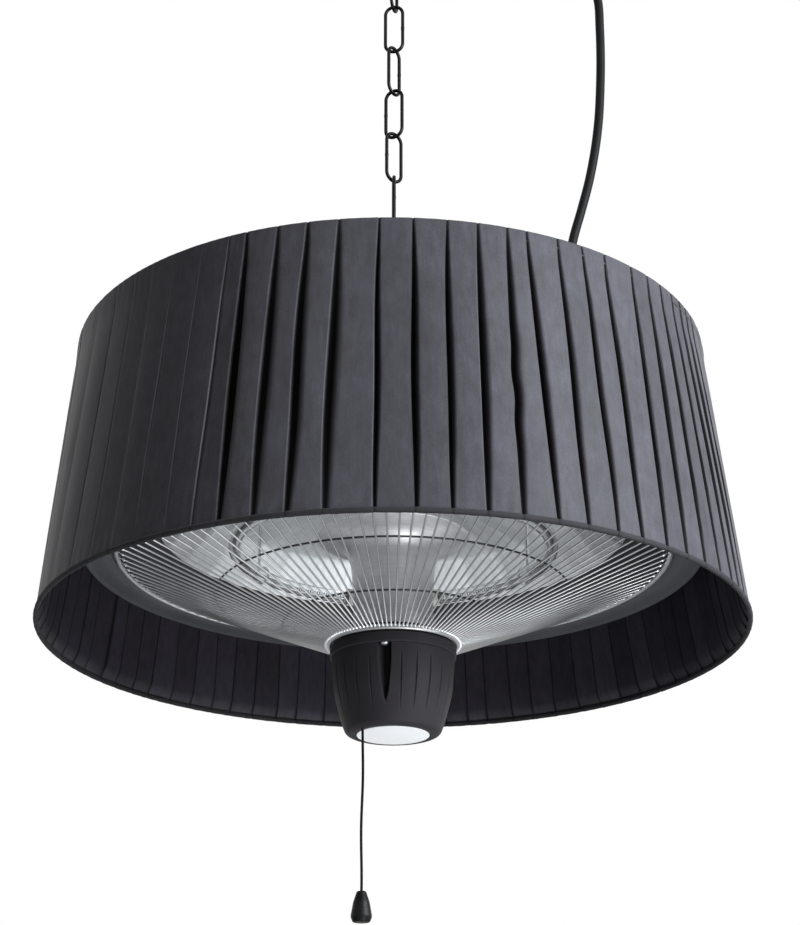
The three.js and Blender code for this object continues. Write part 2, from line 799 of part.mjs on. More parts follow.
// Outline of the cup from its rim to its floor, inset by the wall, with the floor lifted
function cupProfile(inset, floor) {
  const middle = cupTop + cupMiddleShare * (cupBottom - cupTop);
  const points = [[cupTopRadius - inset, cupTop], [cupMiddleRadius - inset, middle]];
  points.push([cupBottomRadius - inset + cupRound / 4, cupBottom + cupRound + floor]);
  points.push([cupBottomRadius - inset - cupRound / 3, cupBottom + cupRound / 3 + floor]);
  points.push([cupBottomRadius - inset - cupRound, cupBottom + floor]);
  return points;
}

function hubCup() {
  const outer = cupProfile(0, 0);
  const inner = cupProfile(cupWall, cupWall);
  const floor = [[0, cupBottom], [0, cupBottom + cupWall]];
  const shell = turned([...outer, ...floor, ...inner.reverse(), outer[0]], hubSegments);
  const middle = cupTop + cupMiddleShare * (cupBottom - cupTop);
  const slant = Math.atan2(cupMiddleRadius - cupBottomRadius, middle - cupBottom - cupRound);
  const fluteDrop = fluteShare * (middle - cupBottom);
  const fluteRadius = cupMiddleRadius - fluteDrop * Math.tan(slant) + weldDepth;
  const tools = [];
  for (let i = 0; i < fluteCount; i += 1) {
    const flute = new THREE.OctahedronGeometry(1).scale(fluteDepth, fluteWidth, fluteLength / 2);
    flute.rotateY(slant).translate(fluteRadius, 0, middle - fluteDrop);
    tools.push(flute.rotateZ(((i + 0.5) * 2 * Math.PI) / fluteCount));
  }
  for (let i = 0; i < recessCount; i += 1) tools.push(screwRecess(i));
  tools.push(cylinder(labelRadius + gap, cupBottom - cutOverrun, cupBottom + labelSet, hubSegments));
  const exit = polar(pullCordRadius, degrees(pullCordTurn));
  const through = cupBottom + cupRound + cupWall;
  tools.push(cylinder(pullCordHole, cupBottom - cutOverrun, through, wireSides).translate(...exit));
  return cut(shell, ...tools);
}

function recessAngle(i) {
  return degrees(recessTurn) + (i * 2 * Math.PI) / recessCount;
}

function screwRecess(i) {
  const cone = turned([
    [0, cupTop - recessLength],
    [recessRadius, cupTop - recessRadius],
    [recessRadius, cupTop + cutOverrun],
    [0, cupTop + cutOverrun],
  ], smallSegments);
  return cone.translate(cupTopRadius + recessSet, 0, 0).rotateZ(recessAngle(i));
}

function hubScrew() {
  const head = collarTop - collarHeight - gap;
  return turned([
    [0, head - hubScrewHead],
    [hubScrewRadius / 2, head - hubScrewHead],
    [hubScrewRadius, head - hubScrewHead / 2],
    [hubScrewRadius, head],
    [0, head],
  ], wireSides);
}

// Centre tube, welded into a flared sleeve whose floor rests on the collar
function centreTube() {
  const foot = collarTop - collarDeck - gap - hubNutHeight - gap;
  const head = dishTopHeight - nutHeight - 3 * gap;
  const tube = pipe(centreTubeRadius - centreTubeWall, centreTubeRadius, foot, head);
  const floor = collarTop + gap;
  const weld = centreTubeRadius - centreTubeWall / 2;
  const sleeve = turnedRing([
    [weld, floor],
    [sleeveFootRadius, floor],
    [sleeveWaistRadius, sleeveWaistHeight],
    [sleeveBendRadius, sleeveBendHeight],
    [sleeveTopRadius, sleeveTopHeight],
    [sleeveTopRadius, sleeveTopHeight + sleeveWall],
    [sleeveBendRadius - sleeveWall, sleeveBendHeight + sleeveWall],
    [sleeveWaistRadius - sleeveWall, sleeveWaistHeight + sleeveWall],
    [sleeveFootRadius - sleeveWall, floor + sleeveWall],
    [weld, floor + sleeveWall],
  ], hubSegments);
  return joined(tube, sleeve);
}

function addHub(parent) {
  node(parent, "centre_tube", centreTube(), "zinc");
  node(parent, "hub_collar", hubCollar(), "plastic");
  node(parent, "hub_cup", hubCup(), "plastic");
  const nut = hexNut(hubNutAcrossFlats, hubNutHeight, centreTubeRadius + gap);
  node(parent, "hub_nut", nut, "zinc", [0, 0, collarTop - collarDeck - gap - hubNutHeight]);
  for (let i = 0; i < recessCount; i += 1) {
    const place = polar(cupTopRadius - hubScrewRadius / 2, recessAngle(i));
    node(parent, `hub_screw_${i + 1}`, hubScrew(), "zinc", place);
  }
  const set = cupBottom + labelSet;
  const plate = cylinder(labelRadius, set - labelThickness, set - gap, hubSegments);
  node(parent, "bottom_plate", plate, "white");
}

// Pull switch with its lever, the cord through the cup's floor, and the bell on it
const pullPlace = polar(pullCordRadius, degrees(pullCordTurn));
const pullTurn = degrees(pullCordTurn);

// Switch body hung from the collar on two moulded legs that stand clear of the nut
function pullSwitch() {
  const body = box(switchLength, switchWidth, switchHeight);
  const deck = box(switchLegWidth, switchLegSpan, switchLegWall);
  deck.translate(0, 0, (switchHeight + switchLegWall) / 2 - weldDepth);
  const top = collarTop - collarDeck - gap - pullCordTop - switchHeight / 4;
  const foot = switchHeight / 2 - weldDepth;
  const legs = [-1, 1].map((side) => {
    const leg = box(switchLegWidth, switchLegWall, top - foot);
    return leg.translate(0, (side * (switchLegSpan - switchLegWall)) / 2, (top + foot) / 2);
  });
  const slot = box(2 * switchSlotDepth, leverThickness + 2 * gap, leverHeight * 2);
  return cut(joined(body, deck, ...legs), slot.translate(switchLength / 2, 0, -switchHeight / 4));
}

function switchLever() {
  const inside = switchSlotDepth - 3 * gap;
  const arm = box(leverLength + inside, leverThickness, leverHeight).translate(-inside / 2, 0, 0);
  const eye = cylinder(leverHeight / 2, -leverThickness / 2, leverThickness / 2).rotateX(Math.PI / 2);
  return joined(arm, eye.translate(leverLength / 2, 0, 0));
}

function bell(top) {
  const foot = bellHeight * bellWideShare;
  return turned([
    [0, top - bellHeight],
    [bellRadius * bellFootShare, top - bellHeight],
    [bellRadius, top - bellHeight + foot],
    [bellRadius * (1 + bellFootShare) / 2, top - bellHeight * (1 - bellWideShare) / 2],
    [bellNeckRadius, top - bellHeight * bellWideShare / 2],
    [bellNeckRadius * bellFootShare, top],
    [0, top],
  ], smallSegments);
}

function addPullSwitch(parent) {
  const turn = [0, 0, pullTurn];
  const bodyRadius = pullCordRadius - leverLength - switchLength / 2;
  const body = polar(bodyRadius, pullTurn, pullCordTop + switchHeight / 4);
  node(parent, "pull_switch", pullSwitch(), "plastic", body, turn);
  const lever = polar(pullCordRadius - leverLength / 2, pullTurn, pullCordTop);
  node(parent, "switch_lever", switchLever(), "white", lever, turn);
  const top = pullCordTop - leverHeight / 2 - gap;
  const upper = cylinder(pullCordWire / 2, cupBottom - gap, top, wireSides).translate(...pullPlace);
  node(parent, "pull_cord_inner", upper, "rubber");
  const bellTop = cupBottom - pullCordLength;
  const lower = cylinder(pullCordWire / 2, bellTop + gap, cupBottom - 3 * gap, wireSides);
  node(parent, "pull_cord", lower.translate(...pullPlace), "rubber");
  node(parent, "pull_bell", bell(bellTop).translate(...pullPlace), "plastic");
}

// Power cord: gland and boot on the cover, free stretch, wound coil, tie and plug
function cordGland() {
  const nut = hexNut(2 * glandRadius, glandLength, cordWire / 2 + gap);
  const neck = pipe(cordWire / 2 + gap, glandNeckRadius, -coverWall - 2 * gap, weldDepth, smallSegments);
  return joined(nut, neck).rotateY(Math.PI / 2);
}

function cordBoot() {
  return turned([
    [0, 0],
    [bootRadius, 0],
    [bootRadius, bootLength / 6],
    [bootTipRadius, bootLength],
    [0, bootLength],
  ], smallSegments).rotateY(Math.PI / 2);
}

// Centre line of the wound coil: in through one layer, out through the next, then a hook-shaped tail
function coilPath() {
  const layer = coilTurns / 2;
  const widest = coilMiddleRadius + (layer * coilPitch) / 2;
  const steps = Math.round(coilTurns * coilStepsPerTurn);
  const points = [];
  for (let i = 0; i <= steps; i += 1) {
    const turns = (i / steps) * coilTurns;
    const radius = widest - coilPitch * Math.min(turns, coilTurns - turns);
    const climb = THREE.MathUtils.clamp(turns - layer + 0.25, 0, 0.5) * 2;
    const turn = -Math.PI / 2 - turns * 2 * Math.PI;
    const lift = tailLift((turns - coilTurns) / tailLiftTurns);
    points.push([radius * Math.cos(turn), -climb * coilPitch - lift, radius * Math.sin(turn)]);
  }
  return { points, widest };
}

// How far the cord stands forward of the coil, from share -1 where it lifts to 1 at the tail's end
function tailLift(share) {
  const done = THREE.MathUtils.clamp((share + 1) / 2, 0, 1);
  return tailForward * done * done * (3 - 2 * done);
}

function coilTail(widest) {
  const points = [];
  const steps = 8;
  for (let i = 1; i <= steps; i += 1) {
    const share = i / steps;
    const turn = Math.PI / 2 - (share * Math.PI) / 2;
    const height = widest - tailBend + tailBend * Math.sin(turn);
    points.push([tailBend * Math.cos(turn), -coilPitch - tailLift(share), height]);
  }
  const last = points[points.length - 1];
  points.push([last[0], last[1], last[2] - cordWire]);
  return points;
}

// Least distance between parts of a tube that aren't neighbours along it, less its diameter
function leastSelfGap(points, wire) {
  const apart = 4 * wire;
  const along = [0];
  for (let i = 1; i < points.length; i += 1) along.push(along[i - 1] + points[i].distanceTo(points[i - 1]));
  let least = Infinity;
  for (let i = 0; i < points.length - 1; i += 1) {
    for (let j = i + 1; j < points.length - 1; j += 1) {
      if (along[j] - along[i] < apart) continue;
      least = Math.min(least, segmentDistance(points[i], points[i + 1], points[j], points[j + 1]));
    }
  }
  return least - wire;
}

function segmentDistance(a, b, c, d) {
  const samples = 6;
  const line = new THREE.Line3(c, d);
  const near = new THREE.Vector3();
  let least = Infinity;
  for (let i = 0; i <= samples; i += 1) {
    const p = new THREE.Vector3().lerpVectors(a, b, i / samples);
    line.closestPointToPoint(p, true, near);
    least = Math.min(least, near.distanceTo(p));
  }
  return least;
}

function addPowerCord(parent) {
  const coverFoot = dishTopHeight + dishWall + gap;
  const level = coverFoot + glandHeight;
  node(parent, "cord_gland", cordGland(), "plastic", [coverRadius + gap, 0, level]);
  const bootFoot = coverRadius + gap + glandLength + gap;
  node(parent, "cord_boot", cordBoot(), "rubber", [bootFoot, 0, level]);
  const { points, widest } = coilPath();
  const centre = [linkInnerWidth / 2 + linkWire + gap + cordWire / 2 + widest, -gap, coilAboveShade];
  const start = [bootFoot + bootLength + gap, 0, level];
  const finish = [centre[0] + cordWire + gap, centre[1], centre[2] - widest];
  const free = [[start[0] + cordWire, 0, level], ...cordRoute];
  for (const share of [6, 3, 1, 0]) free.push([finish[0] + share * cordWire, finish[1], finish[2]]);
  const path = new THREE.CatmullRomCurve3(free.map((p) => new THREE.Vector3(...p)), false, "centripetal");
  const run = [new THREE.Vector3(...start), ...path.getSpacedPoints(cordSteps)];
  node(parent, "power_cord", sweptTube(run, run.map(() => cordWire / 2), cordSides, false), "rubber");
  const [, entryDepth, entryHeight] = points[0];
  const lead = [[cordWire, entryDepth, entryHeight]];
  const wound = [...lead, ...points, ...coilTail(widest)].map((p) => new THREE.Vector3(...p));
  printTube("cord", run);
  printTube("coil", wound);
  const coil = sweptTube(wound, wound.map(() => cordWire / 2), coilSides, false);
  node(parent, "power_cord_coil", coil, "rubber", centre);
  const end = wound[wound.length - 1];
  addPlug(parent, [centre[0] + end.x, centre[1] + end.y, centre[2] + end.z - gap]);
  addTie(parent, centre, widest);
}

function printTube(name, points) {
  let length = 0;
  for (let i = 1; i < points.length; i += 1) length += points[i].distanceTo(points[i - 1]);
  const apart = leastSelfGap(points, cordWire).toFixed(2);
  console.log(`${name}: ${length.toFixed(1)} mm, least self gap ${apart} mm`);
}

function addPlug(parent, place) {
  const body = turned([
    [0, 0],
    [plugNeckRadius, 0],
    [plugNeckRadius, -plugNeck],
    [plugRadius - plugRound, -plugNeck - plugRound],
    [plugRadius, -plugNeck - 2 * plugRound],
    [plugRadius, -plugNeck - plugBody],
    [0, -plugNeck - plugBody],
  ], smallSegments);
  node(parent, "power_plug", body, "rubber", place);
  [-1, 1].forEach((side) => {
    const pin = cylinder(plugPinRadius, -plugPinLength, 0, wireSides);
    const at = [place[0] + (side * plugPinSpacing) / 2, place[1], place[2] - plugNeck - plugBody - gap];
    node(parent, side < 0 ? "plug_pin_left" : "plug_pin_right", pin, "zinc", at);
  });
}

// Band round one side of the coil and both sides of the link beside it
function addTie(parent, centre, widest) {
  const left = -linkWire / 2 - linkBead - gap;
  const right = centre[0] - widest + (coilTurns / 2) * coilPitch + cordWire / 2;
  const front = centre[1] - coilPitch - cordWire / 2 - 2 * gap;
  const back = linkInnerWidth / 2 + linkWire + linkBead + gap;
  const outline = roundedOutline(left - tieBand, right + tieBand, front - tieBand, back + tieBand, 2 * tieBand);
  outline.holes.push(roundedOutline(left, right, front, back, tieBand));
  const solid = { depth: tieWidth, bevelEnabled: false, curveSegments: 2 };
  const band = new THREE.ExtrudeGeometry(outline, solid);
  const head = box(tieHead, tieHead / 2, tieWidth + tieBand);
  head.translate(tieHead, front - tieBand / 2 - tieHead / 4, tieWidth / 2);
  node(parent, "cable_tie", joined(band, head), "plastic", [0, 0, tieAboveShade - tieWidth / 2]);
}

function roundedOutline(left, right, front, back, round) {
  const outline = new THREE.Shape();
  outline.moveTo(left + round, front);
  outline.lineTo(right - round, front);
  outline.absarc(right - round, front + round, round, -Math.PI / 2, 0, false);
  outline.absarc(right - round, back - round, round, 0, Math.PI / 2, false);
  outline.absarc(left + round, back - round, round, Math.PI / 2, Math.PI, false);
  outline.absarc(left + round, front + round, round, Math.PI, 1.5 * Math.PI, false);
  return outline;
}

// The whole heater: ceiling pieces and chain from the origin down, the rest on the shade's own level
const heater = new THREE.Group();
node(heater, "ceiling_plate", ceilingPlate(), "blackSteel");
node(heater, "plate_screw_front", plateScrew(), "zinc", [0, -plateScrewOffset, 0]);
node(heater, "plate_screw_back", plateScrew(), "zinc", [0, plateScrewOffset, 0]);
node(heater, "ceiling_hook", ceilingHook(), "blackSteel");
addChain(heater);
node(heater, "suspension_eye", suspensionEye(), "blackSteel", [0, 0, eyeCentre]);

const shadeLevel = new THREE.Group();
shadeLevel.position.z = shadeFoot;
heater.add(shadeLevel);
addShade(shadeLevel);
addHead(shadeLevel);
addRingTube(shadeLevel);
addGuard(shadeLevel);
addHub(shadeLevel);
addPullSwitch(shadeLevel);
addPowerCord(shadeLevel);

export default heater;
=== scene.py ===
"""Hanging patio heater: cloth, metal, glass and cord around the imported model."""

import math
import bmesh
import bpy
import numpy as np
from bpy.props import FloatProperty, FloatVectorProperty, IntProperty, PointerProperty
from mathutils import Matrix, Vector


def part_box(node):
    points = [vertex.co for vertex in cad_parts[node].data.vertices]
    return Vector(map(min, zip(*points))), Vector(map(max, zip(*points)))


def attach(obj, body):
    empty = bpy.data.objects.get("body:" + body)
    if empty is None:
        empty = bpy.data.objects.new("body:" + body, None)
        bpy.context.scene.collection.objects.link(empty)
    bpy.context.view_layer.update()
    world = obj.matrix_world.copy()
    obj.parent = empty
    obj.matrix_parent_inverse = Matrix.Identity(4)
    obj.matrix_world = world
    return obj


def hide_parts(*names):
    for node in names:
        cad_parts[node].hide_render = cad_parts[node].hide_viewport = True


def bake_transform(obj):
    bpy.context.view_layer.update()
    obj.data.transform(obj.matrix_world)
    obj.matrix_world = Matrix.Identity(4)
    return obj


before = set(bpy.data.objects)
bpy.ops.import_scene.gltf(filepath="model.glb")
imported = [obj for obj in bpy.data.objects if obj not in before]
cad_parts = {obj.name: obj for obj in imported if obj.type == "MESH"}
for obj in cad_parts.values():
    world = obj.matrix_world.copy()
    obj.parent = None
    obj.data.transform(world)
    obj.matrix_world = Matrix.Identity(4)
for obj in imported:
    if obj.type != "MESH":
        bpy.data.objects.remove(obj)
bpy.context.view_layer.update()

bl_info = {
    "name": "Hanging patio heater",
    "version": (1, 0, 0),
    "blender": (4, 5, 0),
    "location": "View3D > Sidebar > Patio heater",
    "description": "Builds the pleated shade, the heater head, the chain and the cord on the packed model",
    "category": "Add Mesh",
}

MM = 0.001
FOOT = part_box("shade_lower_hem")[0].z
PLEATS = 75

# Creases seen on the front of the shade: degrees to the right at the top, halfway and at the foot
SEEN_CREASES = (
    (-66.3, -68.4, -70.0), (-60.2, -62.0, -63.6), (-53.6, -55.0, -56.4), (-48.1, -49.2, -50.3),
    (-43.3, -44.1, -45.1), (-37.7, -38.8, -39.7), (-31.9, -33.2, -33.9), (-26.8, -28.2, -29.2),
    (-23.6, -24.8, -25.0), (-18.1, -19.6, -19.8), (-13.3, -14.6, -14.8), (-8.0, -9.4, -9.6),
    (-1.7, -2.4, -2.5), (3.7, 3.1, 3.0), (9.1, 8.3, 8.1), (14.1, 13.3, 13.0), (19.1, 18.4, 18.1),
    (22.5, 22.9, 23.4), (28.3, 28.2, 28.1), (33.0, 33.1, 33.2), (37.9, 37.8, 37.8), (44.3, 43.6, 42.9),
    (48.8, 48.2, 47.5), (52.8, 52.7, 52.4), (56.7, 57.1, 57.4), (59.9, 60.9, 62.0), (62.8, 64.4, 65.7),
    (65.9, 68.2, 69.2),
)

# The one crease that wanders from side to side
WAVY_CREASE = 16

# This many creases, counted from the left, lie flat and get a painted highlight along their edge
SHARP_CREASES = 8

# Where the ends of the cloth are joined, seen through the open foot: degrees as above
SEEN_JOIN = (-115, -116, -116.5)

# How wide the groove at each of these creases is, as a share of the usual width
SEEN_WIDTHS = (
    0.2, 0.2, 0.2, 0.2, 0.2, 0.2, 0.22, 0.28, 1.8, 2.0, 1.9, 1.9, 0.8, 1.1, 1.1, 1.4,
    1.3, 1.1, 1.15, 1.2, 1.25, 1.2, 1.3, 1.3, 1.35, 1.35, 1.35, 1.35,
)

# How these ribbons tilt, as how far their right edge stands out over their middle
SEEN_LEANS = {
    9: -0.0006, 10: -0.0006, 11: -0.0004, 12: 0.0006, 13: 0.0010, 14: 0.0016, 15: -0.0012, 16: -0.0012,
    17: -0.0008,
}

# Where section points stand across half a ribbon, as shares of its width
HALF_SECTION = (0.0, 0.014, 0.03, 0.05, 0.075, 0.105, 0.14, 0.185, 0.24, 0.32, 0.41, 0.5)

# The free stretch of the power cord, in millimetres from the shade's axis and lower rim
CORD_ROUTE = (
    (140, 0, 201), (148, 0, 228), (150, 0, 262), (152, 0, 300), (157, 0, 340), (166, 0, 385),
    (175, 0, 417), (183.2, 0, 448), (190, 0, 482), (194.5, 0, 514), (197.3, 0, 548),
    (199, 0, 581), (199.6, 0, 616), (198.9, 0, 650), (193, 0, 674), (176, 0, 688),
)
CORD_START = (120.9, 0, 189.7)
CORD_FINISH = (78.56, -0.3, 700.04)
CORD_STRAIGHT = 8.5
CORD_SIDES = 20

# The wound coil and its tail, in millimetres and turns
COIL_CENTRE = (69.76, -0.3, 755)
COIL_WIDEST = 54.96
COIL_TURNS = 3.5
COIL_PITCH = 9.1
TAIL_BEND = 36
TAIL_FORWARD = 24
TAIL_LIFT_TURNS = 0.15

# Degrees that each link is turned about the chain, and the body it rides on
LINK_TURNS = (0, 90, 0, 72, -12, 54, -26, 38, -88, 0, 90)
LINK_BODIES = ("top_link", "chain", *(f"link_{i}" for i in range(3, 12)))

# The camera: film and lens in millimetres, place in metres, tilt and turn in radians
SENSOR = 36
LENS = 75.74
CAMERA_PLACE = (0.001643, -1.58563, FOOT - 0.49032)
CAMERA_TILT = 0.3901
CAMERA_TURN = -0.0026

# The ring tube's centre line, in metres from the axis and above the shade's lower rim
TUBE_RING = 0.137
TUBE_HEIGHT = 0.080
TUBE_SIDES = 20

# Radius of the hole for the stem rod, in metres
STEM_HOLE = 0.0053

# Distance between the threads of the cloth's weave, in metres
THREAD_PITCH = 0.00085


# Sizes and colours


def size(name, description, default, **limits):
    return FloatProperty(
        name=name, description=description, default=default, unit="LENGTH", precision=5, **limits
    )


def number(name, description, default, least=0):
    return IntProperty(name=name, description=description, default=default, min=least)


def power(name, description, default):
    return FloatProperty(name=name, description=description, default=default, min=0)


def tint(name, description, default):
    return FloatVectorProperty(
        name=name, description=description, default=default, size=3, min=0, max=1, subtype="COLOR"
    )


class ShadeSizes(bpy.types.PropertyGroup):
    bottom_radius: size("Bottom radius", "Outer radius of the shade at its lower rim", 0.3018, min=0.1)
    top_radius: size("Top radius", "Outer radius of the shade at its upper rim", 0.2775, min=0.1)
    top_shift: size("Top shift", "How far the upper rim sits to the right of the lower one", -0.003)
    height: size("Height", "Height of the shade between its rims", 0.2515, min=0.05)
    hem: size("Hem height", "Height of the cloth rolled round each rim wire", 0.005, min=0.001)
    fold_depth: size("Fold depth", "Depth of the folds halfway up", 0.0070, min=0)
    fold_width: size("Fold width", "Width of a fold's dark groove halfway up", 0.0027, min=0)
    fold_slope: size("Fold slope", "Width of the slope to the right of a groove", 0.0024, min=0)
    fold_edge: size("Fold edge", "Width of the tight edge on the left of a groove", 0.0008, min=0)
    crown: size("Ribbon crown", "How far a ribbon swells between its two folds", 0.0005, min=0)
    seed: number("Seed", "Seed of the folds that the front doesn't show", 7)


class HeadSizes(bpy.types.PropertyGroup):
    guard_wires: number("Guard wires", "Number of straight guard wires", 108, 12)
    guard_wire: size("Guard wire", "Diameter of a guard wire", 0.0017, min=0.0005)
    outer_ring: size("Outer ring wire", "Diameter of the guard's outer ring wire", 0.0046, min=0.001)
    inner_ring: size("Inner ring wire", "Diameter of the guard's inner ring wire", 0.0036, min=0.001)
    tube: size("Glass tube", "Outer diameter of the heating tube", 0.012, min=0.002)
    flutes: number("Hub flutes", "Number of flutes round the hub's cup", 24, 3)
    flute_depth: size("Flute depth", "Depth of a flute at its deepest", 0.0010, min=0)


class CordSizes(bpy.types.PropertyGroup):
    power_cord: size("Power cord", "Diameter of the power cord", 0.0085, min=0.002)
    pull_cord: size("Pull cord", "Diameter of the pull cord", 0.0022, min=0.0005)
    link_wire: size("Link wire", "Diameter of the chain's wire", 0.0033, min=0.001)
    link_length: size("Link length", "Inner length of a chain link", 0.0481, min=0.01)
    link_width: size("Link width", "Inner width of a chain link", 0.0137, min=0.005)


class Finishes(bpy.types.PropertyGroup):
    cloth: tint("Cloth", "Charcoal cloth of the shade", (0.0500, 0.0482, 0.0545))
    lining: tint("Lining", "Inner side of the shade", (0.0205, 0.0185, 0.0245))
    black_steel: tint("Black steel", "Chain, hook, eye and spider", (0.003, 0.003, 0.0034))
    dark_paint: tint("Dark paint", "Dish, flange and top cover", (0.055, 0.055, 0.060))
    plastic: tint("Plastic", "Hub, gland and switch", (0.0265, 0.0240, 0.0273))
    black_plastic: tint("Black plastic", "Bell, plug, boot and tie", (0.0035, 0.0035, 0.004))
    rubber: tint("Rubber", "Power cord and pull cord", (0.0045, 0.0045, 0.005))
    mirror: tint("Reflector", "Polished reflector", (0.92, 0.93, 0.945))
    bright_wire: tint("Bright wire", "Guard", (0.43, 0.43, 0.44))
    sleeve: tint("Sleeve", "Brushed sleeve in the middle of the guard", (0.90, 0.90, 0.91))
    zinc: tint("Zinc", "Nuts, screws, stem and clips", (0.42, 0.43, 0.45))
    ceramic: tint("Ceramic", "Ends of the glass tube", (0.74, 0.71, 0.64))
    white: tint("White plastic", "Bare plate, lever and terminal block", (0.92, 0.93, 0.95))


class StageLights(bpy.types.PropertyGroup):
    floor_drop: size("Floor", "Height of the floor below the ceiling plate", -2.7)
    key: power("Key light", "Power of the light on the right", 230)
    fill: power("Fill light", "Power of the light in front", 10)
    low: power("Low light", "Power of the light below, on the right", 18)
    sky: power("Sky", "Strength of the even light from all round", 0.07)


# Curves and surfaces


def above_foot(points):
    """Points in the row frame, in metres, from points in millimetres above the shade's lower rim."""
    return np.array(points, float) * MM + (0, 0, FOOT)


def centripetal(points, steps=24):
    """A smooth line through these points, denser where they are."""
    p = np.array(points, float)
    p = np.vstack([2 * p[0] - p[1], p, 2 * p[-1] - p[-2]])
    line = []
    for a, b, c, d in zip(p, p[1:], p[2:], p[3:]):
        ab, bc, cd = (math.sqrt(np.linalg.norm(v)) or 1.0 for v in (b - a, c - b, d - c))
        m1 = ((b - a) / ab - (c - a) / (ab + bc) + (c - b) / bc) * bc
        m2 = ((c - b) / bc - (d - b) / (bc + cd) + (d - c) / cd) * bc
        t = np.linspace(0, 1, steps, endpoint=False)[:, None]
        line.append(
            (2 * t**3 - 3 * t**2 + 1) * b + (t**3 - 2 * t**2 + t) * m1
            + (3 * t**2 - 2 * t**3) * c + (t**3 - t**2) * m2
        )
    return np.vstack([*line, p[-2]])


def distances(line):
    """How far along the line each of its points is."""
    return np.concatenate([[0], np.cumsum(np.linalg.norm(np.diff(line, axis=0), axis=1))])


def evenly(line, count):
    """The same line with points a constant distance apart."""
    along = distances(line)
    places = np.linspace(0, along[-1], count)
    return np.column_stack([np.interp(places, along, line[:, k]) for k in range(3)])


def smooth(value, start, end):
    """0 up to start, 1 from end on, with a soft step between."""
    done = np.clip((value - start) / (end - start), 0, 1)
    return done * done * (3 - 2 * done)


def full_turn(count):
    """Even angles all the way round."""
    return np.linspace(0, 2 * math.pi, count, endpoint=False)


def strip_faces(rows, columns, rows_close):
    """Quads of a grid of points whose rows are closed rings; the last row may join the first."""
    i, j = np.indices((rows if rows_close else rows - 1, columns)).reshape(2, -1)
    up, on = (i + 1) % rows, (j + 1) % columns
    return np.column_stack([i * columns + j, i * columns + on, up * columns + on, up * columns + j]).tolist()


def tube(path, radius, sides=16, loop=False):
    """A round bar along a path, closed at its ends unless it is a loop."""
    path = np.array(path, float)
    count = len(path)
    radius = np.broadcast_to(np.array(radius, float), (count,))
    if loop:
        tangent = np.roll(path, -1, 0) - np.roll(path, 1, 0)
    else:
        tangent = np.gradient(path, axis=0)
    tangent /= np.linalg.norm(tangent, axis=1)[:, None]
    side = np.cross(tangent[0], (0, 0, 1.0) if abs(tangent[0][2]) < 0.9 else (0, 1.0, 0))
    rings = []
    for place, along, thick in zip(path, tangent, radius):
        side = side - along * side.dot(along)
        side /= np.linalg.norm(side)
        up = np.cross(along, side)
        turn = full_turn(sides)[:, None]
        rings.append(place + thick * (np.cos(turn) * side + np.sin(turn) * up))
    faces = strip_faces(count, sides, loop)
    if not loop:
        faces += [list(range(sides))[::-1], list(range((count - 1) * sides, count * sides))]
    return np.vstack(rings), faces


def softened(outline, radius, steps=4, loop=True):
    """The outline with its corners rounded."""
    outline = [np.array(p, float) for p in outline]
    count = len(outline)
    line = []
    for i, corner in enumerate(outline):
        ends = not loop and i in (0, count - 1)
        if ends or corner[0] < 1e-9:
            line.append(corner)
            continue
        before, after = outline[i - 1], outline[(i + 1) % count]
        reach = min(radius, 0.48 * np.linalg.norm(before - corner), 0.48 * np.linalg.norm(after - corner))
        a = corner + (before - corner) / np.linalg.norm(before - corner) * reach
        b = corner + (after - corner) / np.linalg.norm(after - corner) * reach
        for t in np.linspace(0, 1, steps + 1):
            line.append((1 - t) ** 2 * a + 2 * t * (1 - t) * corner + t**2 * b)
    return np.array(line)


def turned(outline, segments=96, shape=None, centre=(0, 0)):
    """A body turned round Z from its outline in radius and height; shape gives a factor for each angle."""
    outline = np.array(outline, float)
    touches = outline[0][0] < 1e-9 and outline[-1][0] < 1e-9
    turn = full_turn(segments)
    factor = np.ones(segments) if shape is None else shape(turn)
    radius = outline[:, :1] * factor[None, :]
    height = np.repeat(outline[:, 1:], segments, axis=1)
    points = np.stack([radius * np.cos(turn), radius * np.sin(turn), height], -1).reshape(-1, 3)
    return points + (*centre, 0), strip_faces(len(outline), segments, not touches)


def hoop(radius, wire, height, segments=180, sides=14):
    turn = full_turn(segments)
    path = np.column_stack([radius * np.cos(turn), radius * np.sin(turn), np.full(segments, height)])
    return tube(path, wire / 2, sides, loop=True)


def polar(radius, turn, height):
    return np.array([radius * math.cos(turn), radius * math.sin(turn), height])


def turned_about_z(points, turn):
    c, s = math.cos(turn), math.sin(turn)
    return np.array(points) @ np.array([[c, s, 0], [-s, c, 0], [0, 0, 1]])


def centre_of(name):
    """Where a CAD node's upright axis is."""
    low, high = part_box(name)
    return (low.x + high.x) / 2, (low.y + high.y) / 2


def make_piece(name, parts, finish, body, node, smooth=40, marks=None):
    """Joins parts into one closed mesh that rides on a body and takes the place of a CAD node."""
    points, faces, first = [], [], 0
    for place, quads in parts:
        points.append(np.array(place))
        faces += [[first + k for k in quad] for quad in quads]
        first += len(place)
    mesh = bpy.data.meshes.new(name)
    mesh.from_pydata(np.vstack(points).tolist(), [], faces)
    for mark, values in (marks or {}).items():
        attribute = mesh.attributes.new(mark, "FLOAT", "POINT")
        attribute.data.foreach_set("value", np.array(values, np.float32).ravel())
    solid = bmesh.new()
    solid.from_mesh(mesh)
    bmesh.ops.remove_doubles(solid, verts=solid.verts, dist=1e-6)
    bmesh.ops.recalc_face_normals(solid, faces=solid.faces)
    solid.to_mesh(mesh)
    solid.free()
    mesh.shade_smooth()
    mesh.set_sharp_from_angle(angle=math.radians(smooth))
    mesh.materials.append(finish_of(finish))
    made = bpy.data.objects.new(name, mesh)
    bpy.context.scene.collection.objects.link(made)
    if body:
        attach(made, body)
    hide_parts(node)
    return made


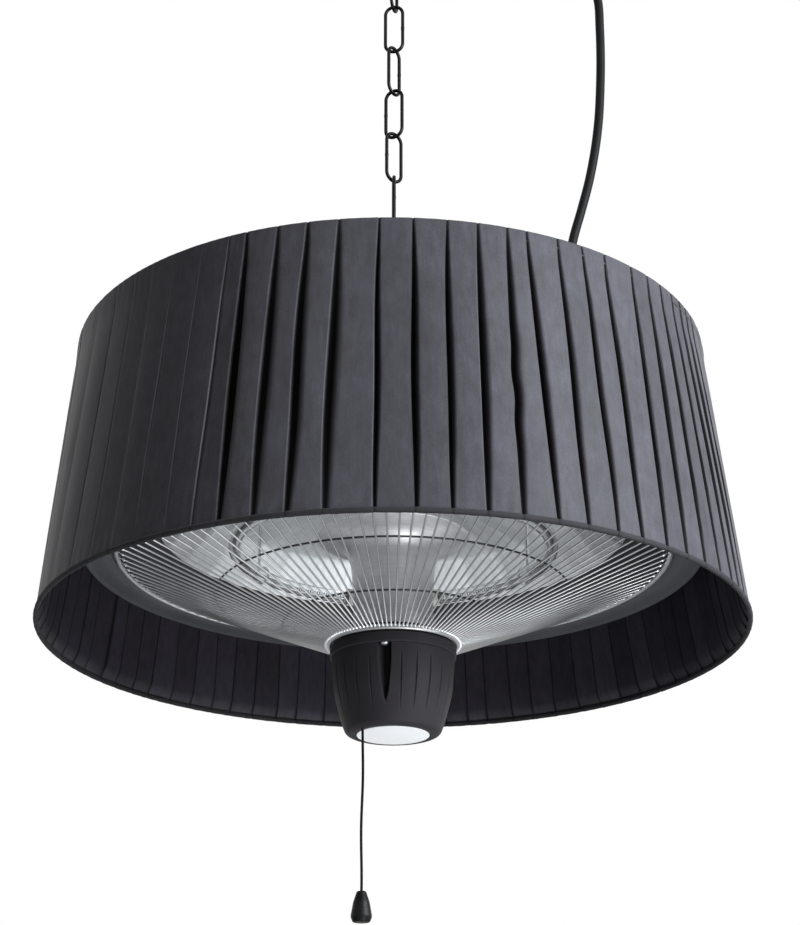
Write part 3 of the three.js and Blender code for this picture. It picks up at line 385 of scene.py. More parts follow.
def dress(name, finish, edge=0.0):
    """Gives a carried-over CAD node its finish, and soft edges where edge is a width."""
    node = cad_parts[name]
    node.data.materials.clear()
    node.data.materials.append(finish_of(finish))
    if edge:
        bevel = node.modifiers.new("soft edges", "BEVEL")
        bevel.width, bevel.segments, bevel.limit_method = edge, 2, "ANGLE"
        bevel.angle_limit = math.radians(40)
        bevel.harden_normals = True
    return node


# Finishes


def new_material(name, colour, roughness, metallic=0.0, **sockets):
    """A material with its principled shader, and the constants set on the shader's own sockets."""
    material = bpy.data.materials.new(name)
    material.use_nodes = True
    tree = material.node_tree
    shader = tree.nodes["Principled BSDF"]
    shader.inputs["Base Color"].default_value = (*colour, 1)
    shader.inputs["Roughness"].default_value = roughness
    shader.inputs["Metallic"].default_value = metallic
    for socket, value in sockets.items():
        shader.inputs[socket.replace("_", " ")].default_value = value
    return material, tree, shader


def add(tree, kind, inputs=None, **settings):
    """Adds a node; an input is a value or the socket that feeds it."""
    made = tree.nodes.new(kind)
    for key, value in settings.items():
        setattr(made, key, value)
    for key, value in (inputs or {}).items():
        if isinstance(value, bpy.types.NodeSocket):
            tree.links.new(value, made.inputs[key])
        else:
            made.inputs[key].default_value = value
    return made


def place_of(tree, stretch=(1, 1, 1)):
    """The point's place on the object, stretched along its axes."""
    where = add(tree, "ShaderNodeTexCoord").outputs["Object"]
    return add(tree, "ShaderNodeMapping", {"Vector": where, "Scale": stretch}).outputs["Vector"]


def noise(tree, where, scale, detail, rough=0.55):
    inputs = {"Vector": where, "Scale": scale, "Detail": detail, "Roughness": rough}
    return add(tree, "ShaderNodeTexNoise", inputs).outputs["Fac"]


def spread(tree, value, low=0.0, high=1.0, start=0.3, end=0.7):
    """Maps a value to a range, held at both ends."""
    inputs = {"Value": value, "From Min": start, "From Max": end, "To Min": low, "To Max": high}
    return add(tree, "ShaderNodeMapRange", inputs).outputs["Result"]


def mix(tree, factor, first, second, blend="MIX"):
    made = tree.nodes.new("ShaderNodeMix")
    made.data_type, made.blend_type, made.clamp_factor = "RGBA", blend, True
    for place, value in ((0, factor), (6, first), (7, second)):
        if isinstance(value, bpy.types.NodeSocket):
            tree.links.new(value, made.inputs[place])
        else:
            made.inputs[place].default_value = (*value, 1) if place else value
    return made.outputs[2]


def tinted(tree, tone, value, dark, light):
    """A tone times another one, which goes from dark to light with a value."""
    return mix(tree, 1.0, tone, mix(tree, value, dark, light), "MULTIPLY")


def shaded(colour, factor):
    return tuple(min(1.0, c * factor) for c in colour)


def feed(tree, shader, colour, roughness, height, strength, distance=0.0004):
    """Links colour, roughness and bump to the shader."""
    bump = add(tree, "ShaderNodeBump", {"Height": height, "Strength": strength, "Distance": distance})
    tree.links.new(colour, shader.inputs["Base Color"])
    tree.links.new(roughness, shader.inputs["Roughness"])
    tree.links.new(bump.outputs["Normal"], shader.inputs["Normal"])


def math_node(tree, operation, first, second=0.0):
    made = add(tree, "ShaderNodeMath", {0: first, 1: second}, operation=operation)
    return made.outputs["Value"]


def plus(tree, first, second):
    return math_node(tree, "ADD", first, second)


def times(tree, first, second):
    return math_node(tree, "MULTIPLY", first, second)


def wave_of(tree, value, pitch):
    """A sine wave along a length."""
    return math_node(tree, "SINE", times(tree, value, 2 * math.pi / pitch))


def mark_of(tree, name):
    return add(tree, "ShaderNodeAttribute", attribute_name=name).outputs["Fac"]


def surface(name, colour, rough, metallic, tone, grain, bump, worn=None, marked=(), **sockets):
    """A painted, moulded or metal skin: mottled tone, fine grain, uneven gloss, worn edges, and marked places
    in another colour, used for painted shade and painted highlights.
    """
    material, tree, shader = new_material(name, colour, sum(rough) / 2, metallic, **sockets)
    wide = noise(tree, place_of(tree), 22.0, 4.0)
    fine = noise(tree, place_of(tree), grain, 4.0, 0.65)
    mottled = mix(tree, spread(tree, wide), shaded(colour, 1 - tone), shaded(colour, 1 + tone))
    flecks = spread(tree, fine, 0, 1, 0.35, 0.75)
    colour_out = tinted(tree, mottled, flecks, shaded((1, 1, 1), 1 - tone / 2), (1, 1, 1))
    if worn is not None:
        edge = add(tree, "ShaderNodeNewGeometry").outputs["Pointiness"]
        rubbed = times(tree, spread(tree, edge, 0, 0.6, 0.53, 0.6), spread(tree, wide, 0.2, 1))
        colour_out = mix(tree, rubbed, colour_out, worn)
    for mark, shown in marked:
        colour_out = mix(tree, mark_of(tree, mark), colour_out, shown)
    uneven = plus(tree, spread(tree, wide, 0, 0.6), spread(tree, fine, 0, 0.4))
    feed(tree, shader, colour_out, spread(tree, uneven, *rough, 0, 1), fine, bump)
    return material


def cloth_finish(cloth, lining):
    """Charcoal cloth: fine weave, streaks along the fall, painted shade in the folds and a painted highlight
    on some crease edges; darker on the lining, with dark seams.
    """
    material, tree, shader = new_material("charcoal_cloth", cloth, 0.7, Specular_IOR_Level=0.05)
    across, up = mark_of(tree, "across"), mark_of(tree, "up")
    painted_shade_and_seams, lined, ribbon = mark_of(tree, "fold"), mark_of(tree, "lining"), mark_of(tree, "tone")
    weave = add(tree, "ShaderNodeCombineXYZ", {"X": across, "Y": up, "Z": 0.0}).outputs["Vector"]

    def along_fall(stretch, *look):
        where = add(tree, "ShaderNodeMapping", {"Vector": weave, "Scale": (1, stretch, 1)})
        return noise(tree, where.outputs["Vector"], *look)

    threads = times(tree, wave_of(tree, across, THREAD_PITCH), wave_of(tree, up, THREAD_PITCH))
    streaks, slubs = along_fall(0.06, 620.0, 4.0), along_fall(0.35, 1500.0, 3.0)
    wide, clouds = noise(tree, weave, 26.0, 3.0), along_fall(0.4, 150.0, 5.0, 0.65)
    tone = mix(tree, spread(tree, streaks, 0, 1, 0.25, 0.75), shaded(cloth, 0.92), shaded(cloth, 1.08))
    tone = tinted(tree, tone, spread(tree, clouds), (0.84, 0.84, 0.83), (1.12, 1.13, 1.16))
    tone = tinted(tree, tone, spread(tree, slubs), (0.86, 0.86, 0.86), (1.12, 1.12, 1.12))
    tone = tinted(tree, tone, spread(tree, wide), (0.88, 0.87, 0.87), (1.1, 1.1, 1.12))
    tone = tinted(tree, tone, ribbon, (0.9, 0.9, 0.9), (1.08, 1.08, 1.08))
    inner = mix(tree, spread(tree, clouds), shaded(lining, 0.8), shaded(lining, 1.25))
    inner = tinted(tree, inner, ribbon, (0.75, 0.75, 0.75), (1.2, 1.2, 1.22))
    # Painted highlight: a light line along the edge of the leftmost creases
    tone = mix(tree, mark_of(tree, "pressed"), tone, shaded(cloth, 1.9))
    tone = mix(tree, lined, tone, inner)
    # Painted shade: near black in the grooves of the outer cloth; on the lining the same mark draws the dark
    # seams
    tone = mix(tree, painted_shade_and_seams, tone, (0.0014, 0.0014, 0.0016))
    rough = spread(tree, plus(tree, threads, streaks), 0.38, 0.46, -0.6, 1.4)
    rough = plus(tree, rough, times(tree, painted_shade_and_seams, 0.4))
    rough = plus(tree, rough, times(tree, lined, 0.3))
    height = plus(tree, times(tree, threads, 0.5), times(tree, slubs, 1.6))
    feed(tree, shader, tone, rough, height, 0.2, 0.0002)
    return material


def hem_finish(name, colour):
    """Cloth rolled round a rim wire: the same weave, a little darker, with painted shade in its nips."""
    sockets = {"Sheen_Weight": 0.03, "Sheen_Roughness": 0.5, "Specular_IOR_Level": 0.1}
    material, tree, shader = new_material(name, colour, 0.75, **sockets)
    threads = noise(tree, place_of(tree, (1, 1, 1.8)), 1300.0, 4.0)
    wide = noise(tree, place_of(tree), 30.0, 3.0)
    tone = mix(tree, spread(tree, threads), shaded(colour, 0.7), shaded(colour, 1.35))
    tone = tinted(tree, tone, spread(tree, wide), (0.85, 0.85, 0.85), (1.12, 1.1, 1.08))
    # Painted shade in the nip at each sewn fold
    tone = mix(tree, mark_of(tree, "fold"), tone, (0.006, 0.005, 0.005))
    feed(tree, shader, tone, spread(tree, threads, 0.66, 0.86), threads, 0.4, 0.0002)
    return material


def mirror_finish(colour):
    """Polished sheet metal: faint radial rolling lines, soft ripples and an uneven gloss."""
    material, tree, shader = new_material("polished_reflector", colour, 0.2, 1.0)
    where = add(tree, "ShaderNodeTexCoord").outputs["Object"]
    parts = add(tree, "ShaderNodeSeparateXYZ", {"Vector": where})
    turn = math_node(tree, "ARCTAN2", parts.outputs["Y"], parts.outputs["X"])
    away = add(tree, "ShaderNodeVectorMath", {0: where}, operation="LENGTH").outputs["Value"]
    radial = add(tree, "ShaderNodeCombineXYZ", {"X": turn, "Y": times(tree, away, 1.5), "Z": 0.0})
    lines = noise(tree, radial.outputs["Vector"], 60.0, 5.0, 0.6)
    ripple = noise(tree, place_of(tree), 14.0, 2.0, 0.4)
    tone = mix(tree, spread(tree, lines), shaded(colour, 0.86), shaded(colour, 1.08))
    tone = tinted(tree, tone, spread(tree, ripple), (0.9, 0.9, 0.91), (1, 1, 1))
    height = plus(tree, times(tree, lines, 0.12), ripple)
    rough = spread(tree, plus(tree, lines, ripple), 0.24, 0.42, 0.7, 1.3)
    feed(tree, shader, tone, rough, height, 0.5, 0.003)
    return material


def sleeve_finish(colour):
    """Brushed sheet metal: fine rings round the axis and broad soft bands along it."""
    material, tree, shader = new_material("brushed_sleeve", colour, 0.4, 0.7)
    rings = noise(tree, place_of(tree, (1, 1, 60)), 40.0, 4.0, 0.6)
    bands = noise(tree, place_of(tree, (1, 1, 0.15)), 45.0, 2.0, 0.4)
    tone = mix(tree, spread(tree, rings), shaded(colour, 0.84), shaded(colour, 1.1))
    tone = tinted(tree, tone, spread(tree, bands), (0.78, 0.78, 0.79), (1, 1, 1))
    feed(tree, shader, tone, spread(tree, rings, 0.36, 0.5), rings, 0.2, 0.0002)
    return material


def cord_finish(name, colour, rough, pitch):
    """Rubber or braid: fine matt skin with faint rings along the cord."""
    material, tree, shader = new_material(name, colour, sum(rough) / 2, Specular_IOR_Level=0.08)
    rings = wave_of(tree, mark_of(tree, "along"), pitch)
    skin = noise(tree, place_of(tree), 1400.0, 3.0)
    wide = noise(tree, place_of(tree), 40.0, 3.0)
    tone = mix(tree, spread(tree, wide), shaded(colour, 0.82), shaded(colour, 1.3))
    tone = tinted(tree, tone, spread(tree, skin), (0.85, 0.85, 0.85), (1.1, 1.1, 1.1))
    height = plus(tree, times(tree, rings, 0.3), skin)
    feed(tree, shader, tone, spread(tree, skin, *rough), height, 0.2, 0.0002)
    return material


def glass_finish():
    """Clear quartz with faint draw lines."""
    sockets = {"Transmission_Weight": 1.0, "IOR": 1.45}
    material, tree, shader = new_material("clear_quartz", (0.97, 0.98, 0.99), 0.03, **sockets)
    haze = noise(tree, place_of(tree), 120.0, 3.0)
    tone = mix(tree, spread(tree, haze), (0.93, 0.95, 0.96), (1, 1, 1))
    feed(tree, shader, tone, spread(tree, haze, 0.02, 0.07), haze, 0.05, 0.0004)
    return material


def own_keys(group):
    """The names of a property group's own settings."""
    return [key for key in group.bl_rna.properties.keys() if key not in ("rna_type", "name")]


FINISHES = {}


def finish_of(name):
    """The finish with this name; all are made at the first call."""
    if FINISHES:
        return FINISHES[name]
    colours = bpy.context.scene.heater_finishes
    of = {key: tuple(getattr(colours, key)) for key in own_keys(colours)}
    FINISHES.update({
        "cloth": cloth_finish(of["cloth"], of["lining"]),
        # Both hems are shaded copies of the cloth colour, painted shade: much darker on the lower hem, a
        # little on the upper
        "lower_hem": hem_finish("lower_hem_cloth", shaded(of["cloth"], 0.42)),
        "upper_hem": hem_finish("upper_hem_cloth", shaded(of["cloth"], 0.85)),
        "black_steel": surface(
            "black_steel", of["black_steel"], (0.22, 0.36), 0.0, 0.2, 700, 0.1,
            worn=(0.02, 0.02, 0.021), Specular_IOR_Level=0.1,
        ),
        "dark_paint": surface(
            "dark_paint", of["dark_paint"], (0.38, 0.52), 0.0, 0.1, 1100, 0.16,
            worn=(0.2, 0.2, 0.21), Specular_IOR_Level=0.3,
        ),
        # Hub plastic: the fold mark paints the screw recesses near black, painted shade
        "dark_plastic": surface(
            "dark_plastic", of["plastic"], (0.46, 0.6), 0.0, 0.1, 1500, 0.3,
            worn=(0.03, 0.028, 0.031), marked=[("fold", (0.001, 0.001, 0.001))], Specular_IOR_Level=0.08,
        ),
        "black_plastic": surface(
            "black_plastic", of["black_plastic"], (0.36, 0.5), 0.0, 0.1, 1500, 0.2,
            worn=(0.012, 0.012, 0.013), Specular_IOR_Level=0.12,
        ),
        "zinc": surface("zinc", of["zinc"], (0.28, 0.45), 0.9, 0.12, 600, 0.12, worn=(0.7, 0.7, 0.71)),
        # Guard wire, with a painted highlight where it is marked: the whole outer ring and each wire's weld
        # swellings
        "bright_wire": surface(
            "bright_wire", of["bright_wire"], (0.3, 0.44), 1.0, 0.06, 500, 0.06,
            marked=[("bright", (0.86, 0.87, 0.89))],
        ),
        # Support hoops: the guard wire's colour shaded down to a sixth, painted shade
        "hoop_wire": surface("hoop_wire", shaded(of["bright_wire"], 0.16), (0.3, 0.44), 1.0, 0.06, 500, 0.06),
        "polished_reflector": mirror_finish(of["mirror"]),
        "brushed_sleeve": sleeve_finish(of["sleeve"]),
        "rubber": cord_finish("cord_rubber", of["rubber"], (0.42, 0.6), 0.0011),
        "pull_cord": cord_finish("pull_cord_braid", shaded(of["rubber"], 0.7), (0.5, 0.7), 0.0016),
        "quartz": glass_finish(),
        "heating_wire": surface("heating_wire", (0.12, 0.1, 0.085), (0.45, 0.65), 0.7, 0.25, 1500, 0.2),
        "ceramic": surface("ceramic", of["ceramic"], (0.4, 0.6), 0.0, 0.06, 900, 0.2, worn=(0.86, 0.84, 0.8)),
        "white_plastic": surface("white_plastic", of["white"], (0.3, 0.42), 0.0, 0.03, 1200, 0.08),
    })
    return FINISHES[name]


# One operator for each group of pieces


class SceneOperator(bpy.types.Operator):
    bl_options = {"REGISTER", "UNDO"}


class HEATER_OT_stage(SceneOperator):
    """Makes the camera, the lights, the pale floor and the white surroundings"""

    bl_idname = "heater.make_stage"
    bl_label = "Stage"

    def execute(self, context):
        lights = context.scene.heater_lights
        camera = bpy.data.objects.new("camera", bpy.data.cameras.new("camera"))
        camera.data.sensor_width, camera.data.lens = SENSOR, LENS
        camera.data.clip_start, camera.data.clip_end = 0.05, 50
        camera.location = CAMERA_PLACE
        camera.rotation_euler = (math.pi / 2 + CAMERA_TILT, 0, CAMERA_TURN)
        context.scene.collection.objects.link(camera)
        context.scene.camera = camera
        context.scene.view_settings.view_transform = "Standard"
        self.lamp(context, "key", lights.key, 2.2, (2.185, -1.435, -0.15), (0.9, 0.96, 1.0))
        self.lamp(context, "fill", lights.fill, 1.1, (0.4, -2.3, 0.9), (1.0, 0.98, 0.97))
        self.lamp(context, "low", lights.low, 0.9, (0.9, -1.1, -2.35), (1.0, 0.99, 0.98))
        self.floor(context, lights.floor_drop)
        self.surroundings(context, lights.sky)
        return {"FINISHED"}

    def lamp(self, context, name, power, width, place, colour):
        lamp = bpy.data.objects.new(f"{name}_light", bpy.data.lights.new(f"{name}_light", "AREA"))
        lamp.data.energy, lamp.data.size, lamp.data.shape = power, width, "DISK"
        lamp.data.color = colour
        lamp.location = place
        target = Vector((0, 0, FOOT + 0.1))
        lamp.rotation_euler = (target - lamp.location).to_track_quat("-Z", "Y").to_euler()
        context.scene.collection.objects.link(lamp)

    def floor(self, context, height):
        material, tree, shader = new_material("pale_floor", (0.86, 0.86, 0.86), 0.8)
        patches = noise(tree, place_of(tree), 3.0, 3.0)
        tone = mix(tree, spread(tree, patches), (0.84, 0.84, 0.84), (0.88, 0.88, 0.88))
        tree.links.new(tone, shader.inputs["Base Color"])
        mesh = bpy.data.meshes.new("floor")
        reach = 6
        corners = [(x * reach, y * reach, height) for x, y in ((-1, -1), (1, -1), (1, 1), (-1, 1))]
        mesh.from_pydata(corners, [], [(0, 1, 2, 3)])
        mesh.materials.append(material)
        floor = bpy.data.objects.new("floor", mesh)
        context.scene.collection.objects.link(floor)

    def surroundings(self, context, sky):
        world = bpy.data.worlds.new("studio")
        context.scene.world = world
        world.use_nodes = True
        tree = world.node_tree
        light = tree.nodes["Background"]
        rays = add(tree, "ShaderNodeLightPath").outputs
        shown = math_node(tree, "MAXIMUM", rays["Is Camera Ray"], rays["Is Glossy Ray"])
        shown = math_node(tree, "MAXIMUM", shown, rays["Is Transmission Ray"])
        strength = add(tree, "ShaderNodeMapRange", {"Value": shown, "To Min": sky, "To Max": 1.0})
        light.inputs["Color"].default_value = (1, 1, 1, 1)
        tree.links.new(strength.outputs["Result"], light.inputs["Strength"])


class HEATER_OT_cords(SceneOperator):
    """Makes the power cord: boot, gland, free stretch, wound coil, tie and plug"""

    bl_idname = "heater.make_cords"
    bl_label = "Power cord"

    def execute(self, context):
        radius = context.scene.heater_cords.power_cord / 2
        lead_in = [(CORD_FINISH[0] + reach, *CORD_FINISH[1:]) for reach in (51, 25.5, CORD_STRAIGHT, 0)]
        start = (CORD_START[0] + CORD_STRAIGHT, 0, CORD_START[2])
        line = centripetal([start, *CORD_ROUTE, *lead_in])
        free = above_foot(evenly(np.vstack([CORD_START, line]), 240))
        cord = self.cord_piece("power_cord_free", free, radius, None, "power_cord")
        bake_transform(cord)
        wound = self.coil()
        pieces = [self.plug(), *self.plug_pins(), dress("cable_tie", "black_plastic", 0.0004)]
        coil = self.cord_piece("power_cord_wound", wound, radius, "chain", "power_cord_coil")
        self.boot()
        dress("cord_gland", "black_plastic", 0.0005)
        return {"FINISHED"}

    def cord_piece(self, name, line, radius, body, node):
        marks = {"along": np.repeat(distances(line), CORD_SIDES)}
        return make_piece(name, [tube(line, radius, CORD_SIDES)], "rubber", body, node, 60, marks)

    def coil(self):
        """Centre line of the coil and its tail: in through one layer, out through the next."""
        layer = COIL_TURNS / 2
        turns = np.linspace(0, COIL_TURNS, 253)
        radius = COIL_WIDEST - COIL_PITCH * np.minimum(turns, COIL_TURNS - turns)
        climb = np.clip(turns - layer + 0.25, 0, 0.5) * 2
        turn = -math.pi / 2 - turns * 2 * math.pi
        forward = climb * COIL_PITCH + self.lift((turns - COIL_TURNS) / TAIL_LIFT_TURNS)
        points = np.column_stack([radius * np.cos(turn), -forward, radius * np.sin(turn)])
        lead = [(CORD_STRAIGHT, points[0][1], points[0][2])]
        step = np.arange(1, 17) / 16
        bend = math.pi / 2 * (1 - step)
        tail = np.column_stack([
            TAIL_BEND * np.cos(bend), -COIL_PITCH - self.lift(step),
            COIL_WIDEST - TAIL_BEND + TAIL_BEND * np.sin(bend),
        ])
        last = [tail[-1] - (0, 0, CORD_STRAIGHT)]
        return above_foot(np.vstack([lead, points, tail, last]) + COIL_CENTRE)

    def lift(self, step):
        done = np.clip((step + 1) / 2, 0, 1)
        return TAIL_FORWARD * done * done * (3 - 2 * done)

    def plug(self):
        low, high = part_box("power_plug")
        wide, long = (high.x - low.x) / 2, high.z - low.z
        ribs = []
        for i in range(7):
            at = high.z - (0.03 + 0.055 * i) * long
            ribs += [(0.0066, at), (0.0066, at - 0.0011), (0.0057, at - 0.0013), (0.0057, at - 0.0022)]
        outline = [
            (0, high.z), (0.0062, high.z), *ribs, (0.0075, high.z - 0.45 * long),
            (wide * 0.93, high.z - 0.62 * long), (wide, high.z - 0.8 * long), (wide, low.z + 0.002),
            (wide - 0.003, low.z), (0, low.z),
        ]
        body = turned(softened(outline, 0.0012, 3, loop=False), 64, centre=centre_of("power_plug"))
        return make_piece("mains_plug", [body], "black_plastic", "chain", "power_plug")

    def plug_pins(self):
        pieces = []
        for name in ("plug_pin_left", "plug_pin_right"):
            low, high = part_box(name)
            radius = (high.x - low.x) / 2
            tip = [(0, low.z), (radius * 0.55, low.z + 0.0002), (radius, low.z + 0.0016)]
            outline = [*tip, (radius, high.z), (0, high.z)]
            body = turned(softened(outline, 0.0008, 4, loop=False), 32, centre=centre_of(name))
            pieces.append(make_piece(f"{name}_round", [body], "zinc", "chain", name))
        return pieces

    def boot(self):
        """Ribbed strain relief on the gland."""
        low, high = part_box("cord_boot")
        long, z = high.x - low.x, (low.z + high.z) / 2
        outline = [(0, 0), (0.008, 0), (0.008, 0.0045)]
        for i in range(6):
            at = 0.0065 + i * 0.0043
            thick = 0.0079 - 0.0021 * i / 6
            outline += [(thick - 0.0011, at), (thick - 0.0011, at + 0.0012)]
            outline += [(thick, at + 0.0016), (thick - 0.0002, at + 0.0038)]
        outline += [(0.0056, long), (0, long)]
        points, faces = turned(softened(outline, 0.0006, 2, loop=False), 48)
        points = points[:, [2, 0, 1]] + (low.x, 0, z)
        parts = [(points, faces)]
        return make_piece("cord_boot_ribbed", parts, "black_plastic", "heater", "cord_boot")


class HEATER_OT_chain(SceneOperator):
    """Makes the chain of long welded links, the ceiling plate, its screws and the hook"""

    bl_idname = "heater.make_chain"
    bl_label = "Chain and ceiling fitting"

    def execute(self, context):
        cords = context.scene.heater_cords
        for i, (body, turn) in enumerate(zip(LINK_BODIES, LINK_TURNS)):
            node = f"chain_link_{i + 1}"
            low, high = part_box(node)
            points, faces = self.link(cords, 1 if i % 4 < 2 else -1)
            points = turned_about_z(points, math.radians(turn)) + (0, 0, (low.z + high.z) / 2)
            make_piece(f"welded_link_{i + 1}", [(points, faces)], "black_steel", body, node, 60)
        self.hook()
        dress("ceiling_plate", "black_steel", 0.0006)
        for name in ("plate_screw_front", "plate_screw_back"):
            dress(name, "zinc", 0.0003)
        return {"FINISHED"}

    def link(self, cords, side):
        """One oval link in the XZ plane with its weld bead halfway up one side."""
        bend = (cords.link_width + cords.link_wire) / 2
        straight = cords.link_length / 2 + cords.link_wire / 2 - bend
        arc = np.linspace(0, math.pi, 17)
        top = np.column_stack([bend * np.cos(arc), np.zeros(17), straight + bend * np.sin(arc)])
        rise = np.linspace(straight, -straight, 26)[1:-1]
        left = np.column_stack([np.full(24, -bend), np.zeros(24), rise])
        path = np.vstack([top, left, -top, -left])
        bead = 0.0003 * np.exp(-((path[:, 2] / 0.0012) ** 2)) * (side * path[:, 0] > 0.9 * bend)
        return tube(path, cords.link_wire / 2 + bead, 14, loop=True)

    def hook(self):
        turn = math.pi / 2 - np.linspace(0, 1.5 * math.pi, 60)
        shank = [(0, 0, -4.3), (0, 0, -5.2), (0, 0, -8), (0, 0, -12), (0, 0, -15)]
        bend = np.column_stack([np.zeros(60), 13 * np.cos(turn), -31.3 + 13 * np.sin(turn)])
        bend[:, 2] = np.minimum(bend[:, 2], -18.3)
        path = np.vstack([shank, bend]) * MM
        radius = np.full(len(path), 0.003)
        radius[-3:] = (0.0028, 0.0024, 0.0015)
        make_piece("round_hook", [tube(path, radius, 18)], "black_steel", "ceiling", "ceiling_hook", 50)


class HEATER_OT_shade(SceneOperator):
    """Makes the pleated cloth, its lining, the rolled hems, the wire spider and the nuts"""

    bl_idname = "heater.make_shade"
    bl_label = "Pleated shade"

    def execute(self, context):
        sizes = context.scene.heater_shade
        draw = np.random.default_rng(sizes.seed)
        creases = self.crease_angles(draw)
        cloth = self.cloth(sizes, creases, draw)
        low = self.hem("lower_hem", sizes.bottom_radius, FOOT, creases[:, 2], sizes)
        height = FOOT + sizes.height - sizes.hem - 0.0008
        top = self.hem("upper_hem", sizes.top_radius - 0.0038, height, creases[:, 0], sizes)
        self.spider()
        for name in ("spider_nut_upper", "spider_nut_lower"):
            dress(name, "zinc", 0.0006)
        return {"FINISHED"}

    def crease_angles(self, draw):
        """Angles of all creases at the top, halfway and at the foot, in degrees from the front."""
        seen = np.array(SEEN_CREASES)
        hidden = PLEATS - len(seen)
        first, last = seen[-1], seen[0] + 360
        steps = (np.arange(1, hidden + 1) / (hidden + 1))[:, None]
        even = first + (last - first) * steps
        drift = draw.uniform(-0.55, 0.55, (hidden, 1)) + draw.uniform(-0.3, 0.3, (hidden, 3))
        creases = np.vstack([seen, even + drift])
        join = np.array(SEEN_JOIN) + 360
        creases[np.argmin(np.abs(creases[:, 1] - join[1]))] = join
        return creases

    def cloth(self, sizes, creases, draw):
        """Pleated cloth and its lining as one closed skin, with marks that the finish reads, among them
        painted shade in the grooves and a painted highlight on some crease edges.
        """
        rows, lining_step = 48, -3
        level = np.linspace(0, 1, rows)
        top, middle, foot = creases.T
        at = level[:, None]
        lines = foot * (2 * at - 1) * (at - 1) + middle * 4 * at * (1 - at) + top * at * (2 * at - 1)
        wave = draw.uniform(0.0, 0.12, PLEATS) * np.sin(at * 9 + draw.uniform(0, 6, PLEATS))
        wave[:, WAVY_CREASE] = 0.17 * np.sin(level * 31 + 2) * np.exp(-(((level - 0.42) / 0.16) ** 2))
        lines = np.radians(lines + wave)
        ahead = np.roll(lines, -1, 1)
        ahead[:, -1] += 2 * math.pi

        # How far along its ribbon each point is, and how far from the creases on both sides
        section = np.array([*HALF_SECTION, *(1 - np.array(HALF_SECTION[1:-1]))[::-1]])
        turn = lines[:, :, None] + (ahead - lines)[:, :, None] * section
        ribbon = np.repeat(np.arange(PLEATS), len(section))
        share = np.tile(section, PLEATS)
        turn = turn.reshape(rows, -1)
        width = np.repeat(ahead - lines, len(section), axis=1) * (sizes.bottom_radius + sizes.top_radius) / 2
        after, before = share * width, (1 - share) * width

        # Folds are closed at the rims and widest halfway up
        open_part = np.sin((0.07 + 0.93 * at) * math.pi) ** 0.75
        wide, deep = draw.uniform(0.6, 1.5, PLEATS), draw.uniform(0.8, 1.15, PLEATS)
        wide[:len(SEEN_CREASES)] = SEEN_WIDTHS
        deep *= np.clip(1.3 * wide - 0.2, 0.05, 1)
        own_wide, next_wide = wide[ribbon], np.roll(wide, -1)[ribbon]
        own_deep, next_deep = deep[ribbon], np.roll(deep, -1)[ribbon]
        groove = sizes.fold_width * own_wide * (0.12 + 0.88 * open_part)
        slope = sizes.fold_slope * (0.35 + 0.65 * open_part) * (0.3 + 0.7 * own_wide)
        slope = slope + 0.003 * np.clip(1 - 2 * own_wide, 0, 1)
        depth = sizes.fold_depth * (0.1 + 0.9 * open_part)
        climb = depth * own_deep * (1 - smooth(after, 0.35 * groove, groove + slope))
        drop = depth * next_deep * (1 - smooth(before, 0, sizes.fold_edge * (0.5 + 0.5 * next_wide)))
        sunk = np.maximum(climb, drop)
        swell = draw.uniform(-0.6, 1.4, PLEATS)[ribbon]
        crown = sizes.crown * swell * open_part * np.sin(math.pi * share)
        leans = draw.uniform(-0.0005, 0.0005, PLEATS)
        leans[list(SEEN_LEANS)] = list(SEEN_LEANS.values())
        lean = leans[ribbon] * (2 * share - 1) * open_part
        puckers = draw.integers(1, 4, PLEATS)[ribbon]
        phase = draw.uniform(0, 6.3, PLEATS)[ribbon]
        rim = np.exp(-at * sizes.height / 0.022) + 0.8 * np.exp(-(1 - at) * sizes.height / 0.03)
        ripple = 0.00012 * rim * np.sin(2 * math.pi * puckers * share + phase)
        ripple = ripple + 0.00016 * np.sin(at * 13 + phase * 3) * np.sin(math.pi * share) * open_part

        # The outer skin, where its grooves get painted shade and some crease edges a painted highlight
        height = FOOT + 0.0038 + at * (sizes.height - 0.0044)
        cone = sizes.bottom_radius + (sizes.top_radius - sizes.bottom_radius) * (height - FOOT) / sizes.height
        outside = cone - 0.0012 * (1 - 0.8 * smooth(at, 0.9, 1)) - sunk + crown + lean + ripple
        order = np.arange(PLEATS)
        # Painted shade reaches further up the slope on the creases seen turned away to the right
        far = np.clip((order - 15) / 8, 0, 1) + np.clip((order - 22) / 4, 0, 1.25)
        far = (far * (order < len(SEEN_CREASES)))[ribbon]
        dark = 1 - smooth(after, 0.7 * groove + far * slope, groove + (0.6 + 0.7 * far) * slope)
        fold = np.maximum(dark, 1 - smooth(before, 0.0005, 0.0012))
        edge = (1 - smooth(before, 0.0006, 0.0012)) * open_part
        # Painted highlight along the edge of the leftmost creases
        pressed = np.roll(order < SHARP_CREASES, -1)[ribbon] * edge
        shallow = np.where(after < before, own_wide, next_wide)
        fold = fold * (0.75 + 0.25 * open_part) * np.clip(1.6 * shallow - 0.3, 0, 1)

